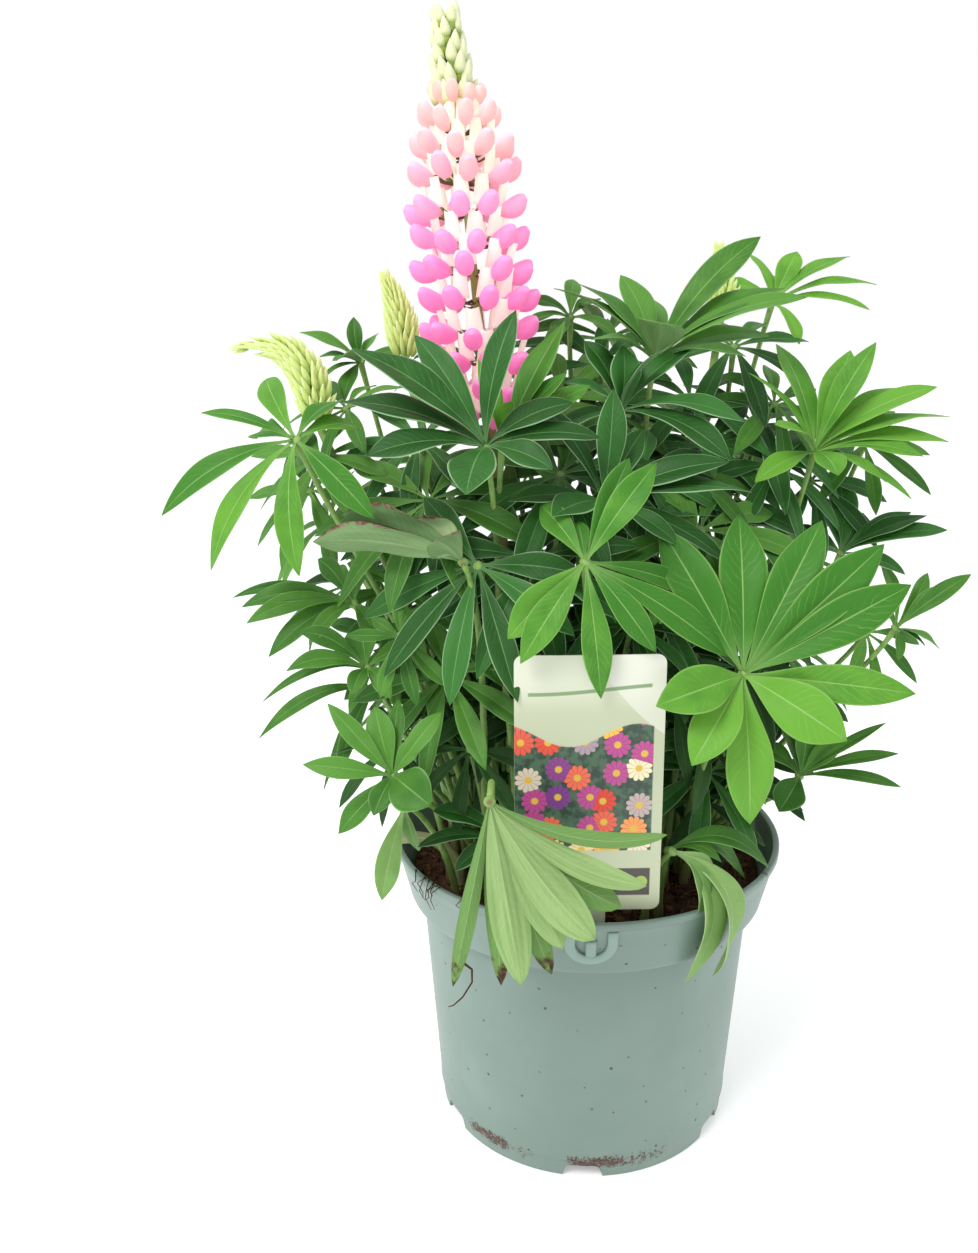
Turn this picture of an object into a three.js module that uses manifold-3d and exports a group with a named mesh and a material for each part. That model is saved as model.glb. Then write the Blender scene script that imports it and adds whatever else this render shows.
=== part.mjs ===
// A garden lupin in its nursery pot: one open flower spike, three bud spikes, a mound of palmate
// leaves, the soil they stand in, the pot and its picture label. Millimetres, +Z up. The origin is
// on the floor under the pot's axis, and the label faces -Y.
import * as THREE from "three";
import { mergeVertices } from "three/addons/utils/BufferGeometryUtils.js";
import Module from "manifold-3d";

const wasm = await Module();
wasm.setup();

const gap = 0.3; // clearance between pieces that touch on the real plant

const pot = {
  height: 150,
  rimRadius: 96.5,
  rimHeight: 3,
  collarRadius: 89.5, // lower edge of the flared collar
  collarHeight: 27,
  wallTopRadius: 83,
  footRadius: 74.5,
  footHeight: 9,
  thickness: 2.2,
  floor: 8, // underside of the raised floor
  notches: 6,
  notchTurn: -4, // degrees, from the front towards -X
  notchWidth: 21,
  notchHeight: 6.5,
  sides: 28,
};

// The moulded U on the front of the collar.
const clip = { x: -4.8, z: 139.5, outer: 11.6, inner: 7, arms: 7, depth: 3.4, sunk: 1.9 };

const soil = { level: 131, roughness: 1.6, holeDepth: 7 };

const label = {
  width: 63,
  bottom: 150.5,
  top: 267,
  thickness: 0.8,
  x: -6,
  y: -86.5,
  cornerRadius: 4,
  tongueWidth: 16,
  tongueBottom: 126,
};

const green = 0x4f9a3c;
const colours = {
  pot: { color: 0x92aaa0, roughness: 0.62 },
  soil: { color: 0x3a2820, roughness: 0.95 },
  label: { color: 0xe6dfcf, roughness: 0.4 },
  leaf: { color: green, roughness: 0.55 },
  shade: { color: 0x2c6d38, roughness: 0.55 },
  pale: { color: 0x9dc46a, roughness: 0.6 },
  flower: { color: 0xe879c0, roughness: 0.5 },
  buds: { color: 0xc5d98a, roughness: 0.6 },
};

const radians = THREE.MathUtils.degToRad;
const up = new THREE.Vector3(0, 0, 1);
const at = (list) => new THREE.Vector3(...list);

// A repeatable draw between -1 and 1.
function draw(a, b, c) {
  const x = Math.sin(a * 12.9898 + b * 78.233 + c * 37.719) * 43758.5453;
  return (x - Math.floor(x)) * 2 - 1;
}

function solidOf(geometry) {
  const bare = geometry.index ? geometry.toNonIndexed() : geometry.clone();
  bare.deleteAttribute("normal");
  bare.deleteAttribute("uv");
  const merged = mergeVertices(bare, 1e-3);
  return new wasm.Manifold(
    new wasm.Mesh({
      numProp: 3,
      vertProperties: merged.attributes.position.array,
      triVerts: new Uint32Array(merged.index.array),
    }),
  );
}

function geometryOf(solid) {
  const mesh = solid.getMesh();
  const points = new Float32Array(mesh.numVert * 3);
  for (let i = 0; i < mesh.numVert; i++) {
    points.set(mesh.vertProperties.subarray(i * mesh.numProp, i * mesh.numProp + 3), i * 3);
  }
  return new THREE.BufferGeometry()
    .setAttribute("position", new THREE.BufferAttribute(points, 3))
    .setIndex(new THREE.BufferAttribute(mesh.triVerts, 1));
}

// A closed solid from points and triangles, turned to face outwards.
function solidFrom(points, triangles) {
  const flat = triangles.flat();
  const build = (index) =>
    new wasm.Manifold(
      new wasm.Mesh({
        numProp: 3,
        vertProperties: new Float32Array(points.flatMap((p) => [p.x, p.y, p.z])),
        triVerts: new Uint32Array(index),
      }),
    );
  let signed = 0;
  for (const [a, b, c] of triangles) {
    signed += points[a].dot(points[b].clone().cross(points[c]));
  }
  if (signed > 0) return build(flat);
  return build(triangles.flatMap(([a, b, c]) => [a, c, b]));
}

const join = (solids) => wasm.Manifold.union(solids);

function largestBody(solid) {
  return solid.decompose().sort((a, b) => b.volume() - a.volume())[0];
}

// A tube of few sides through a list of centres, each with its radius.
function tube(centres, radii, sides) {
  const points = [];
  const triangles = [];
  let side = new THREE.Vector3(1, 0, 0);
  centres.forEach((centre, i) => {
    const before = centres[Math.max(i - 1, 0)];
    const after = centres[Math.min(i + 1, centres.length - 1)];
    const along = after.clone().sub(before).normalize();
    side = side.clone().addScaledVector(along, -side.dot(along)).normalize();
    const across = along.clone().cross(side);
    for (let k = 0; k < sides; k++) {
      const angle = (k / sides) * 2 * Math.PI;
      points.push(
        centre
          .clone()
          .addScaledVector(side, Math.cos(angle) * radii[i])
          .addScaledVector(across, Math.sin(angle) * radii[i]),
      );
    }
  });
  const rings = centres.length;
  for (let i = 0; i < rings - 1; i++) {
    for (let k = 0; k < sides; k++) {
      const a = i * sides + k;
      const b = i * sides + ((k + 1) % sides);
      triangles.push([a, b, b + sides], [a, b + sides, a + sides]);
    }
  }
  for (let k = 1; k < sides - 1; k++) {
    const last = (rings - 1) * sides;
    triangles.push([0, k + 1, k], [last, last + k, last + k + 1]);
  }
  return solidFrom(points, triangles);
}

function wallRadius(z) {
  const { footRadius, wallTopRadius, height, collarHeight } = pot;
  return footRadius + ((wallTopRadius - footRadius) * z) / (height - collarHeight);
}

function collarSurface(z) {
  const { height, rimRadius, rimHeight, collarRadius, collarHeight } = pot;
  const share = (z - height + collarHeight) / (collarHeight - rimHeight - 1);
  return collarRadius + (rimRadius - 1.4 - collarRadius) * share;
}

function makePot() {
  const { height, rimRadius, rimHeight, collarRadius } = pot;
  const { collarHeight, footHeight, thickness, floor } = pot;
  const shoulder = height - collarHeight;
  const inner = (z) => wallRadius(z) - thickness;
  const profile = [
    [0, floor],
    [inner(floor), floor],
    [inner(0), 0],
    [wallRadius(0), 0],
    [wallRadius(footHeight), footHeight],
    [wallRadius(footHeight) + 0.6, footHeight + 0.6],
    [wallRadius(shoulder - 4), shoulder - 4],
    [collarRadius - 1, shoulder - 2],
    [collarRadius, shoulder],
    [rimRadius - 1.4, height - rimHeight - 1],
    [rimRadius, height - rimHeight],
    [rimRadius, height],
    [rimRadius - 2.6, height],
    [rimRadius - 3.4, height - 3],
    [collarRadius - thickness, shoulder + 1],
    [inner(shoulder - 5), shoulder - 5],
    [inner(floor + thickness), floor + thickness],
    [0, floor + thickness],
  ];
  const lathe = new THREE.LatheGeometry(profile.map(([r, z]) => new THREE.Vector2(r, z)), pot.sides);
  let body = solidOf(lathe.rotateX(Math.PI / 2));
  if (body.volume() < 0) body = solidOf(lathe.scale(1, 1, -1));

  // Drainage notches through the foot, one of them close to the front.
  const half = pot.notchWidth / 2;
  const outline = new THREE.Shape([
    new THREE.Vector2(-half, -1),
    new THREE.Vector2(half, -1),
    new THREE.Vector2(half - 3, pot.notchHeight),
    new THREE.Vector2(-half + 3, pot.notchHeight),
  ]);
  for (let i = 0; i < pot.notches; i++) {
    const notch = new THREE.ExtrudeGeometry(outline, { depth: 14, bevelEnabled: false });
    notch.rotateX(Math.PI / 2).translate(0, -pot.footRadius + 12, 0);
    notch.rotateZ((i * 2 * Math.PI) / pot.notches + radians(pot.notchTurn));
    body = body.subtract(solidOf(notch));
  }
  return body.add(makeClip());
}

// The clip: a U with a short tongue in its bend, sunk a little into the flared collar.
function makeClip() {
  const { x, z, outer, inner, arms, depth, sunk } = clip;
  const shape = new THREE.Shape();
  shape.moveTo(-outer, arms).lineTo(-outer, 0);
  shape.absarc(0, 0, outer, Math.PI, 2 * Math.PI, false);
  shape.lineTo(outer, arms).lineTo(inner, arms).lineTo(inner, 0);
  shape.absarc(0, 0, inner, 2 * Math.PI, Math.PI, true);
  shape.lineTo(-inner, arms);
  const band = new THREE.ExtrudeGeometry(shape, { depth, bevelEnabled: false, curveSegments: 8 });
  const tongue = new THREE.BoxGeometry(5, 9.5, 3).translate(0, -3, 1.6);
  const flare = Math.atan(collarSurface(z + 1) - collarSurface(z));
  const place = (geometry) =>
    geometry.rotateX(Math.PI / 2 + flare).translate(x, sunk - collarSurface(z), z);
  return join([solidOf(place(band)), solidOf(place(tongue))]);
}

function soilHeight(x, y) {
  const bumps = Math.sin(x * 0.21 + 1.3) * Math.cos(y * 0.17 - 0.6) + 0.6 * Math.sin(x * 0.09 - y * 0.13);
  return soil.level + soil.roughness * bumps;
}

function makeSoil(stems) {
  const sides = pot.sides;
  const shoulder = pot.height - pot.collarHeight;
  const inside = (z) => wallRadius(z) - pot.thickness - gap - 0.4;
  const bottom = pot.floor + pot.thickness + gap;
  const rings = [
    [inside(bottom), bottom],
    [inside(shoulder - 4.6), shoulder - 4.6],
    [pot.collarRadius - pot.thickness - 0.9, shoulder + 1.8],
    [pot.collarRadius - 1.8, soil.level - 2],
    [72, soil.level],
    [50, soil.level],
    [26, soil.level],
  ];
  const points = [new THREE.Vector3(0, 0, bottom)];
  rings.forEach(([radius, z], ring) => {
    for (let k = 0; k < sides; k++) {
      const angle = (k / sides) * 2 * Math.PI;
      const x = radius * Math.cos(angle);
      const y = radius * Math.sin(angle);
      points.push(new THREE.Vector3(x, y, ring > 3 ? soilHeight(x, y) : z));
    }
  });
  points.push(new THREE.Vector3(0, 0, soilHeight(0, 0)));
  const last = points.length - 1;
  const triangles = [];
  for (let k = 0; k < sides; k++) {
    const next = (k + 1) % sides;
    triangles.push([0, 1 + next, 1 + k]);
    for (let ring = 0; ring < rings.length - 1; ring++) {
      const a = 1 + ring * sides;
      const b = a + sides;
      triangles.push([a + k, a + next, b + next], [a + k, b + next, b + k]);
    }
    const top = 1 + (rings.length - 1) * sides;
    triangles.push([top + k, top + next, last]);
  }
  let body = solidFrom(points, triangles);

  // A plain hole round each stem, and a slot round the label's tongue.
  for (const { foot, radius } of stems) {
    const reach = (radius + gap) / Math.cos(Math.PI / 4);
    const hole = new THREE.CylinderGeometry(reach, reach, 30, 4);
    hole.rotateX(Math.PI / 2).translate(foot[0], foot[1], soil.level - soil.holeDepth - gap + 15);
    body = body.subtract(solidOf(hole));
  }
  const slot = new THREE.BoxGeometry(label.tongueWidth + 2 * gap, label.thickness + 2 * gap, 40);
  slot.translate(label.x, label.y + 2.5, label.tongueBottom - gap + 20);
  return body.subtract(solidOf(slot));
}

function makeLabel() {
  const { width, bottom, top, thickness, cornerRadius: r, tongueWidth, tongueBottom } = label;
  const w = width / 2;
  const t = tongueWidth / 2;
  const shape = new THREE.Shape();
  shape.moveTo(-t, tongueBottom).lineTo(t, tongueBottom).lineTo(t, bottom).lineTo(w - r, bottom);
  shape.absarc(w - r, bottom + r, r, -Math.PI / 2, 0, false);
  shape.absarc(w - r, top - r, r, 0, Math.PI / 2, false);
  shape.absarc(-w + r, top - r, r, Math.PI / 2, Math.PI, false);
  shape.absarc(-w + r, bottom + r, r, Math.PI, 1.5 * Math.PI, false);
  shape.lineTo(-t, bottom);
  const settings = { depth: thickness, bevelEnabled: false, curveSegments: 3 };
  const card = new THREE.ExtrudeGeometry(shape, settings);
  return card.rotateX(Math.PI / 2).translate(label.x, label.y + 2.5 + thickness / 2, 0);
}

// Each leaf: where its stalk leaves the soil, its hub, the azimuth and elevation its upper face
// looks to, the length and number of its leaflets. turn and spread place the fan of leaflets in
// the leaf's plane, cup lifts them towards the upper face and droop bends them back. Where a leaf
// has tips, each leaflet runs from the hub to its tip, [x, y, z, share of the usual width], and
// arches by bow of its length, or by bend.
const usual = {
  count: 8, turn: 0, spread: 320, cup: 12, droop: 0.35, sag: 0.3, width: 0.21, fold: 18, bow: 0.1,
};
const leaves = [
  { name: "leaf_star_left", foot: [-54, -6], hub: [-127, -52, 352], face: [-112, 42],
    size: 64, width: 0.215, bow: 0.14, fine: true,
    tips: [[-55, -12, -29], [-35, -18, -51], [2, -22, -53], [33, -15, -31], [-40, 6, 11, 0.55],
      [-17, 34, 23], [18, 28, 13], [25, 22, 2], [-23, 34, -3]] },
  { name: "leaf_crown_left", foot: [-46, -11], hub: [-48, -48, 348], face: [-112, 60],
    size: 74, width: 0.26, look: "shade",
    tips: [[-55, 4, 40], [-30, 22, 45], [13, 6, 55], [-62, 10, 18, 0.9], [-49, -12, -2, 0.9],
      [-8, -32, -15, 1.1], [37, 8, 17, 0.8], [48, 0, 3, 0.8], [27, -20, -7, 0.7], [-25, 30, 17]] },
  { name: "leaf_crown_young", foot: [-36, -14], hub: [-41, -34, 346], face: [-70, 70],
    size: 50, width: 0.3, bow: 0.06,
    tips: [[28, 4, 31, 0.8], [5, -6, 20, 1.1], [28, 18, 52], [39, 12, 25, 0.8], [-10, 2, 37, 0.8]] },
  { name: "leaf_crown_right", foot: [37, 4], hub: [30, 10, 380], face: [-72, 66],
    size: 78, width: 0.2,
    tips: [[-47, -8, 32, 0.8], [-35, 4, 34], [-14, 20, 38], [2, 36, 28], [49, 12, 54, 1.1],
      [58, -2, 31, 1.1], [65, -14, 27], [54, 6, 10, 0.9], [38, -20, 2], [-31, -20, 10],
      [-2, -30, 17, 1.5]] },
  { name: "leaf_star_right", foot: [57, 1], hub: [104, 0, 338], face: [-70, 66],
    size: 68, width: 0.2,
    tips: [[19, 18, 45, 1.2], [26, 4, 49], [40, 12, 28, 0.9], [55, 2, 29], [60, -4, 16, 1.1],
      [59, -8, 5, 0.9], [44, -18, 0, 0.9], [4, -26, -7, 1.1], [-24, -20, 15], [-31, 6, 36, 0.9],
      [-14, 26, 48, 1.3], [42, -14, -20, 0.5], [27, -22, -11, 0.8], [-31, -18, -11, 0.9]] },
  { name: "leaf_front_dark", foot: [30, -8], hub: [3, -35, 321], face: [-80, 58],
    size: 74, width: 0.19, look: "shade",
    tips: [[4, 4, 49], [-28, 2, 44, 0.8], [19, 14, 31, 0.9], [52, -10, 19, 1.2],
      [61, -16, 7, 1.1], [-24, -30, 0, 1.3], [-42, -14, 4, 0.9], [53, -14, -24, 0.9],
      [31, -22, -15, 0.7]] },
  { name: "leaf_front_star", foot: [28, -18], hub: [-8, -75, 304], face: [-92, 30],
    size: 62, width: 0.25, bow: 0.12, fine: true,
    tips: [[-32, -8, -30, 1.05], [-27, -16, -38, 0.95], [6, -14, -54, 0.85], [28, -12, -35, 0.8],
      [60, 0, -41, 0.95], [19, 16, 40, 0.8], [29, 8, 39, 0.9], [-2, 16, 14, 0.5],
      [-17, 26, 19, 0.8], [47, 22, -18, 0.7]] },
  { name: "leaf_mid_dark", foot: [32, 0], hub: [13, -5, 358], face: [-68, 64],
    size: 66, width: 0.22, bow: 0.12, look: "shade",
    tips: [[18, -16, 28, 0.9], [52, -22, -3, 1.1], [44, -34, -18, 1.15], [-27, -14, 14, 0.9],
      [1, 2, 29, 1.1], [-16, 8, 31], [-35, -22, -10, 0.9], [37, 10, 29, 0.9]] },
  { name: "leaf_big_star", foot: [45, -18], hub: [59, -75, 255], face: [-97, 22],
    size: 72, width: 0.3, fine: true,
    tips: [[-33, 26, 58, 0.95], [1, 28, 63], [35, 22, 61, 0.95], [58, 10, 53, 0.95],
      [67, 0, 38, 0.95], [66, -18, -3, 0.8], [37, -26, -20, 1.1], [3, -14, -62],
      [-25, -26, -30, 0.95], [-40, -24, -5]] },
  { name: "leaf_back_left", foot: [-63, 12], hub: [-111, 60, 378], face: [-120, 60],
    size: 46, width: 0.24,
    tips: [[-29, -6, 15, 0.9], [-3, 4, 22, 0.8], [9, 6, 14, 0.7], [-20, -10, 3, 0.8],
      [-20, -18, -9, 0.7], [-9, -24, 2, 1.3], [26, 0, 5, 0.8], [-6, -26, -18]] },
  { name: "leaf_pale_back", foot: [55, 20], hub: [98, 70, 405], face: [-45, 66],
    size: 54, width: 0.22,
    tips: [[40, 8, 22], [51, -4, 8], [45, -14, -4, 0.9], [15, 16, 25, 1.1], [-10, 14, 24],
      [-25, -8, 9, 1.1], [2, 22, 15], [9, -22, -20, 0.8]] },
  { name: "leaf_top_back", foot: [28, 14], hub: [-6, 50, 399], face: [-90, 62],
    size: 44, width: 0.24, bow: 0.14,
    tips: [[-20, 0, 8, 0.9], [-23, -12, -4, 0.9], [-10, -20, -13, 0.9], [22, -14, -10, 0.9],
      [16, 14, 8, 0.9], [3, 20, 18, 0.9], [-14, -26, -21, 0.9]] },
  { name: "leaf_low_right", foot: [55, -6], hub: [99, -30, 189], face: [-60, 52],
    size: 54, width: 0.2,
    tips: [[3, 8, 25, 1.3], [-9, 14, 25, 0.9], [20, 2, 19], [38, -2, 27, 0.5], [43, -8, 14, 0.6],
      [44, -12, -1, 0.7], [-13, -16, -11, 1.5], [-18, 10, 13]] },
  { name: "leaf_far_right", foot: [68, -2], hub: [145, -12, 256], face: [-40, 52],
    size: 44, width: 0.2,
    tips: [[33, 0, 26, 1.1], [24, 8, 19], [19, 16, 23], [11, -10, -6, 0.6], [16, -14, -6, 1.3],
      [-2, -12, -12, 0.8], [-7, 14, 10], [-2, 24, 28]] },
  { name: "leaf_dark_right", foot: [62, 5], hub: [125, 15, 287], face: [-50, 60],
    size: 60, width: 0.24, bow: 0.08, look: "shade",
    tips: [[34, 4, 19, 0.9], [38, -6, 19, 0.8], [46, -12, 13, 0.8], [14, 14, 17, 1.1],
      [3, 22, 33, 1.1], [-13, 20, 28], [-23, 8, 10], [24, -22, -6, 0.8]] },
  { name: "leaf_left_a", foot: [-60, -5], hub: [-110, -20, 273], face: [-165, 62],
    size: 56, width: 0.2, bow: 0.12,
    tips: [[-50, -8, 1], [-47, -14, -5, 0.9], [-38, -14, -21, 1.2], [-18, -22, -13, 0.9],
      [-56, 2, 3, 0.5], [-17, 10, 19, 0.9], [5, 14, 19], [12, -12, -15, 0.9], [-11, 22, 11]] },
  { name: "leaf_left_b", foot: [-68, -20], hub: [-103, -40, 248], face: [-170, 66],
    size: 54, width: 0.19, bow: 0.14,
    tips: [[-47, -4, -14, 0.4], [-34, -12, 3, 0.9], [-29, 0, 17, 0.9], [-3, 8, 17, 1.6],
      [-5, -16, -7, 0.9], [22, 8, 6, 0.9], [12, -14, -10, 0.9]] },
  { name: "leaf_left_small", foot: [-53, -14], hub: [-86, -55, 267], face: [-95, 30],
    size: 38, width: 0.2, bow: 0.08,
    tips: [[-9, -8, -25], [7, -8, -29], [21, -4, -22], [-23, -4, 2, 0.8], [9, 4, 13, 0.8],
      [15, 0, 7, 0.7], [-13, 6, 7, 0.8], [-1, 10, 15, 0.8]] },
  { name: "leaf_low_left", foot: [-54, -21], hub: [-89, -80, 213], face: [-95, 30],
    size: 46, width: 0.24, bow: 0.12,
    tips: [[-27, 5, 31, 0.9], [-8, 12, 27, 1.2], [-37, -6, 8, 0.9], [-23, -10, -22],
      [-7, -18, -10], [17, -22, -4, 1.9], [21, 10, 25, 0.9], [12, 4, 16, 0.8], [2, 18, 28, 0.8]] },
  { name: "leaf_left_c", foot: [-58, 1], hub: [-104, 5, 222], face: [-160, 60],
    size: 54, width: 0.19, bow: 0.16,
    tips: [[-58, -8, -22, 0.8], [-19, -18, -40, 0.9], [-28, -4, -52, 0.5], [-16, 0, -5, 0.8],
      [24, -6, -10, 0.9], [12, 14, 19, 0.9], [32, 4, -2, 0.9]] },
  { name: "leaf_hanging_left", foot: [-65, -39], hub: [-86, -62, 191], face: [-110, 8],
    size: 44, width: 0.3, bow: 0.06, look: "pale",
    tips: [[-11, -8, -43, 0.95], [5, 10, -28, 0.7]] },
  { name: "leaf_withered", foot: [-50, -30], hub: [-58, -64, 302], face: [88, 26],
    size: 74, width: 0.3, arrive: [10, 12, -24], fine: true, look: "pale",
    tips: [[-61, -8, 11, 1.15], [-50, 4, 20], [-23, 12, 15, 0.8], [-11, -14, 12, 0.7]] },
  { name: "leaf_droop_front", foot: [-48, -50], hub: [-48, -120, 219], face: [90, -14],
    size: 77, width: 0.19, bow: 0.03, arrive: [2, 22, 16], fine: true, look: "pale",
    tips: [[-16, 4, -85, 0.6], [4, 6, -86, 0.8], [12, -6, -78, 1.25], [25, 6, -81, 0.9],
      [29, -4, -63, 1.1], [41, -12, -54, 1.35], [53, 4, -49, 1.2], [61, -8, -33, 0.8],
      [68, -10, -10, 0.55]] },
  { name: "leaf_curl_right", foot: [22, -66], hub: [32, -76, 174], face: [-52, 50],
    size: 62, width: 0.2, bend: [24, -4, 6], arrive: [-8, 10, -14], fine: true,
    tips: [[7, -6, -62], [21, 2, -64, 1.2], [10, -10, -27, 0.6], [16, 8, -32, 0.9]] },
  { name: "leaf_soil_left", foot: [-22, -50], hub: [-41, -58, 170], face: [-100, 78],
    size: 46, width: 0.26, bend: [0, 0, 6], look: "shade",
    tips: [[-33, 6, 13, 1.1], [-40, -2, -1, 0.8], [-23, -10, -9, 0.9], [-17, 8, -35, 0.8]] },
  { name: "leaf_soil_right", foot: [30, -56], hub: [32, -66, 169], face: [-80, 62],
    size: 56, width: 0.22, bend: [1, 0, 13], fine: true,
    tips: [[47, 6, -12], [40, 18, -25, 0.9], [24, 0, -6, 0.6]] },
  { name: "leaf_inner_a", foot: [-48, 1], hub: [-66, 5, 307], face: [-115, 48],
    size: 58, spread: 300, droop: 0.4, look: "shade" },
  { name: "leaf_inner_c", foot: [44, 3], hub: [53, 5, 315], face: [-70, 48],
    size: 66, spread: 300, droop: 0.4, look: "shade" },
  { name: "leaf_inner_d", foot: [-34, -44], hub: [-52, -54, 298], face: [-110, 30],
    size: 62, turn: -20, spread: 240, cup: 8, droop: 0.3, look: "shade" },
  { name: "leaf_inner_e", foot: [38, -3], hub: [28, -15, 272], face: [-80, 40],
    size: 58, spread: 280, cup: 10, droop: 0.4, look: "shade" },
  { name: "leaf_inner_f", foot: [50, 5], hub: [78, 12, 272], face: [-60, 45],
    size: 58, spread: 300, droop: 0.4, look: "shade" },
  { name: "leaf_inner_k", foot: [52, 12], hub: [85, 40, 347], face: [-60, 55],
    size: 60, spread: 300, cup: 14, droop: 0.4, look: "shade" },
  { name: "leaf_inner_l", foot: [-66, 6], hub: [-127, 35, 302], face: [-150, 50],
    size: 50, spread: 300, droop: 0.4 },
  { name: "leaf_left_d", foot: [-30, -4], hub: [-74, -22, 321], face: [-112, 52],
    size: 62, count: 9, spread: 310, cup: 10, droop: 0.4 },
  { name: "leaf_inner_b", foot: [-36, 2], hub: [-15, -22, 332], face: [-95, 52],
    size: 60, spread: 300, cup: 14, droop: 0.4, look: "shade" },
  { name: "leaf_inner_g", foot: [46, -4], hub: [48, -26, 307], face: [-78, 46],
    size: 60, count: 9, spread: 310, cup: 10, droop: 0.4 },
  { name: "leaf_inner_h", foot: [-38, -6], hub: [-29, -46, 299], face: [-98, 40],
    size: 58, spread: 290, cup: 10, droop: 0.35, look: "shade" },
  { name: "leaf_inner_i", foot: [-42, 6], hub: [-66, -40, 244], face: [-112, 40],
    size: 52, count: 9, spread: 300, cup: 8, droop: 0.35 },
  { name: "leaf_inner_j", foot: [44, 16], hub: [57, -20, 187], face: [-80, 46],
    size: 50, spread: 300, cup: 14, droop: 0.4, look: "shade" },
  { name: "leaf_left_e", foot: [-52, 8], hub: [-89, -10, 277], face: [-140, 50],
    size: 50, count: 9, spread: 300, cup: 8, droop: 0.45, width: 0.18 },
  { name: "leaf_back_a", foot: [-49, 25], hub: [-78, 86, 322], face: [122, 52],
    size: 58, count: 7, cup: 14, droop: 0.4 },
  { name: "leaf_back_b", foot: [29, 26], hub: [0, 94, 345], face: [92, 50],
    size: 58, count: 7, cup: 14, droop: 0.4 },
  { name: "leaf_back_c", foot: [48, 24], hub: [66, 90, 335], face: [60, 52],
    size: 58, count: 7, cup: 14, droop: 0.4 },
  { name: "leaf_back_d", foot: [-67, 18], hub: [-122, 62, 262], face: [150, 50],
    size: 54, count: 7, cup: 14, droop: 0.4, look: "shade" },
  { name: "leaf_back_e", foot: [58, 26], hub: [118, 70, 275], face: [32, 50],
    size: 54, count: 7, cup: 14, droop: 0.4, look: "shade" },
  { name: "leaf_back_f", foot: [-42, 26], hub: [-42, 98, 250], face: [108, 46],
    size: 52, count: 7, cup: 14, droop: 0.4, look: "shade" },
  { name: "leaf_back_g", foot: [40, 32], hub: [46, 98, 240], face: [72, 46],
    size: 52, count: 7, cup: 14, droop: 0.4 },
  { name: "leaf_back_h", foot: [33, 20], hub: [14, 72, 388], face: [85, 64],
    size: 54, cup: 16 },
  { name: "leaf_back_i", foot: [-37, 31], hub: [-52, 70, 378], face: [112, 62],
    size: 52, cup: 16, look: "shade" },
  { name: "leaf_back_k", foot: [-52, 19], hub: [-94, 70, 196], face: [140, 46],
    size: 44, count: 7, droop: 0.4 },
  { name: "leaf_back_l", foot: [70, 18], hub: [104, 60, 190], face: [28, 46],
    size: 44, count: 7, droop: 0.4 },
  { name: "leaf_back_m", foot: [36, 26], hub: [26, 92, 186], face: [88, 42],
    size: 42, count: 7, droop: 0.4 },
];

const stalk = { footRadius: 1.9, hubRadius: 1.2, sides: 4, steps: 4 };
const blade = {
  hubRadius: 2.4,
  hubDepth: 1,
  above: 0.35, // half thickness of a leaflet over its midrib
  below: 0.85,
  steps: 10,
  stations: [6, 10], // steps kept in the solid
  fineStations: [4, 7, 10],
};

// An old stalk broken off short, leaning out over the rim.
const stub = {
  foot: [-63, -28],
  radius: 3,
  through: [[-64, -28, 146], [-74, -28, 157], [-86, -29, 159], [-97, -31, 158]],
};

// The outline of a leaflet: half its width at a share of its length.
const outline = (share) => Math.sin(Math.PI * Math.min(share, 0.999) ** 1.4) ** 0.9;

function leafFrame(leaf) {
  const [azimuth, elevation] = leaf.face.map(radians);
  const normal = new THREE.Vector3(
    Math.cos(elevation) * Math.cos(azimuth),
    Math.cos(elevation) * Math.sin(azimuth),
    Math.sin(elevation),
  );
  const down = up.clone().negate().addScaledVector(normal, normal.z).normalize();
  return { normal, down, side: normal.clone().cross(down) };
}

// The midrib of one leaflet as stations, each with its point, its crossways and upward directions.
function midrib(leaf, index, i, room = 0) {
  return leaf.tips ? archedRib(leaf, leaf.tips[i], room) : evenRib(leaf, index, i, room);
}

function archedRib(leaf, [x, y, z, wide = 1], room) {
  const { normal } = leafFrame(leaf);
  const hub = at(leaf.hub);
  const reach = new THREE.Vector3(x, y, z);
  const length = reach.length();
  const over = normal.addScaledVector(reach, -reach.dot(normal) / length ** 2).normalize();
  const rise = leaf.bend
    ? at(leaf.bend).multiplyScalar(length / leaf.size)
    : over.clone().multiplyScalar(leaf.bow * length);
  const across = over.clone().cross(reach).normalize();
  const directionAt = (t) => reach.clone().addScaledVector(rise, 4 * (1 - 2 * t)).normalize();
  const kept = leaf.fine ? blade.fineStations : blade.stations;
  const stations = kept.map((step) => {
    const t = step / blade.steps;
    const along = directionAt(t);
    const level = across.clone().addScaledVector(along, -across.dot(along)).normalize();
    const point = hub.clone().addScaledVector(reach, t).addScaledVector(rise, 4 * t * (1 - t));
    const half = (leaf.width * leaf.size * wide * outline(t)) / 2;
    return { point, across: level, above: along.cross(level), half };
  });
  stations.at(-1).point.addScaledVector(directionAt(1), room);
  return { start: hub.addScaledVector(directionAt(0), 0.5), stations };
}

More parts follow.
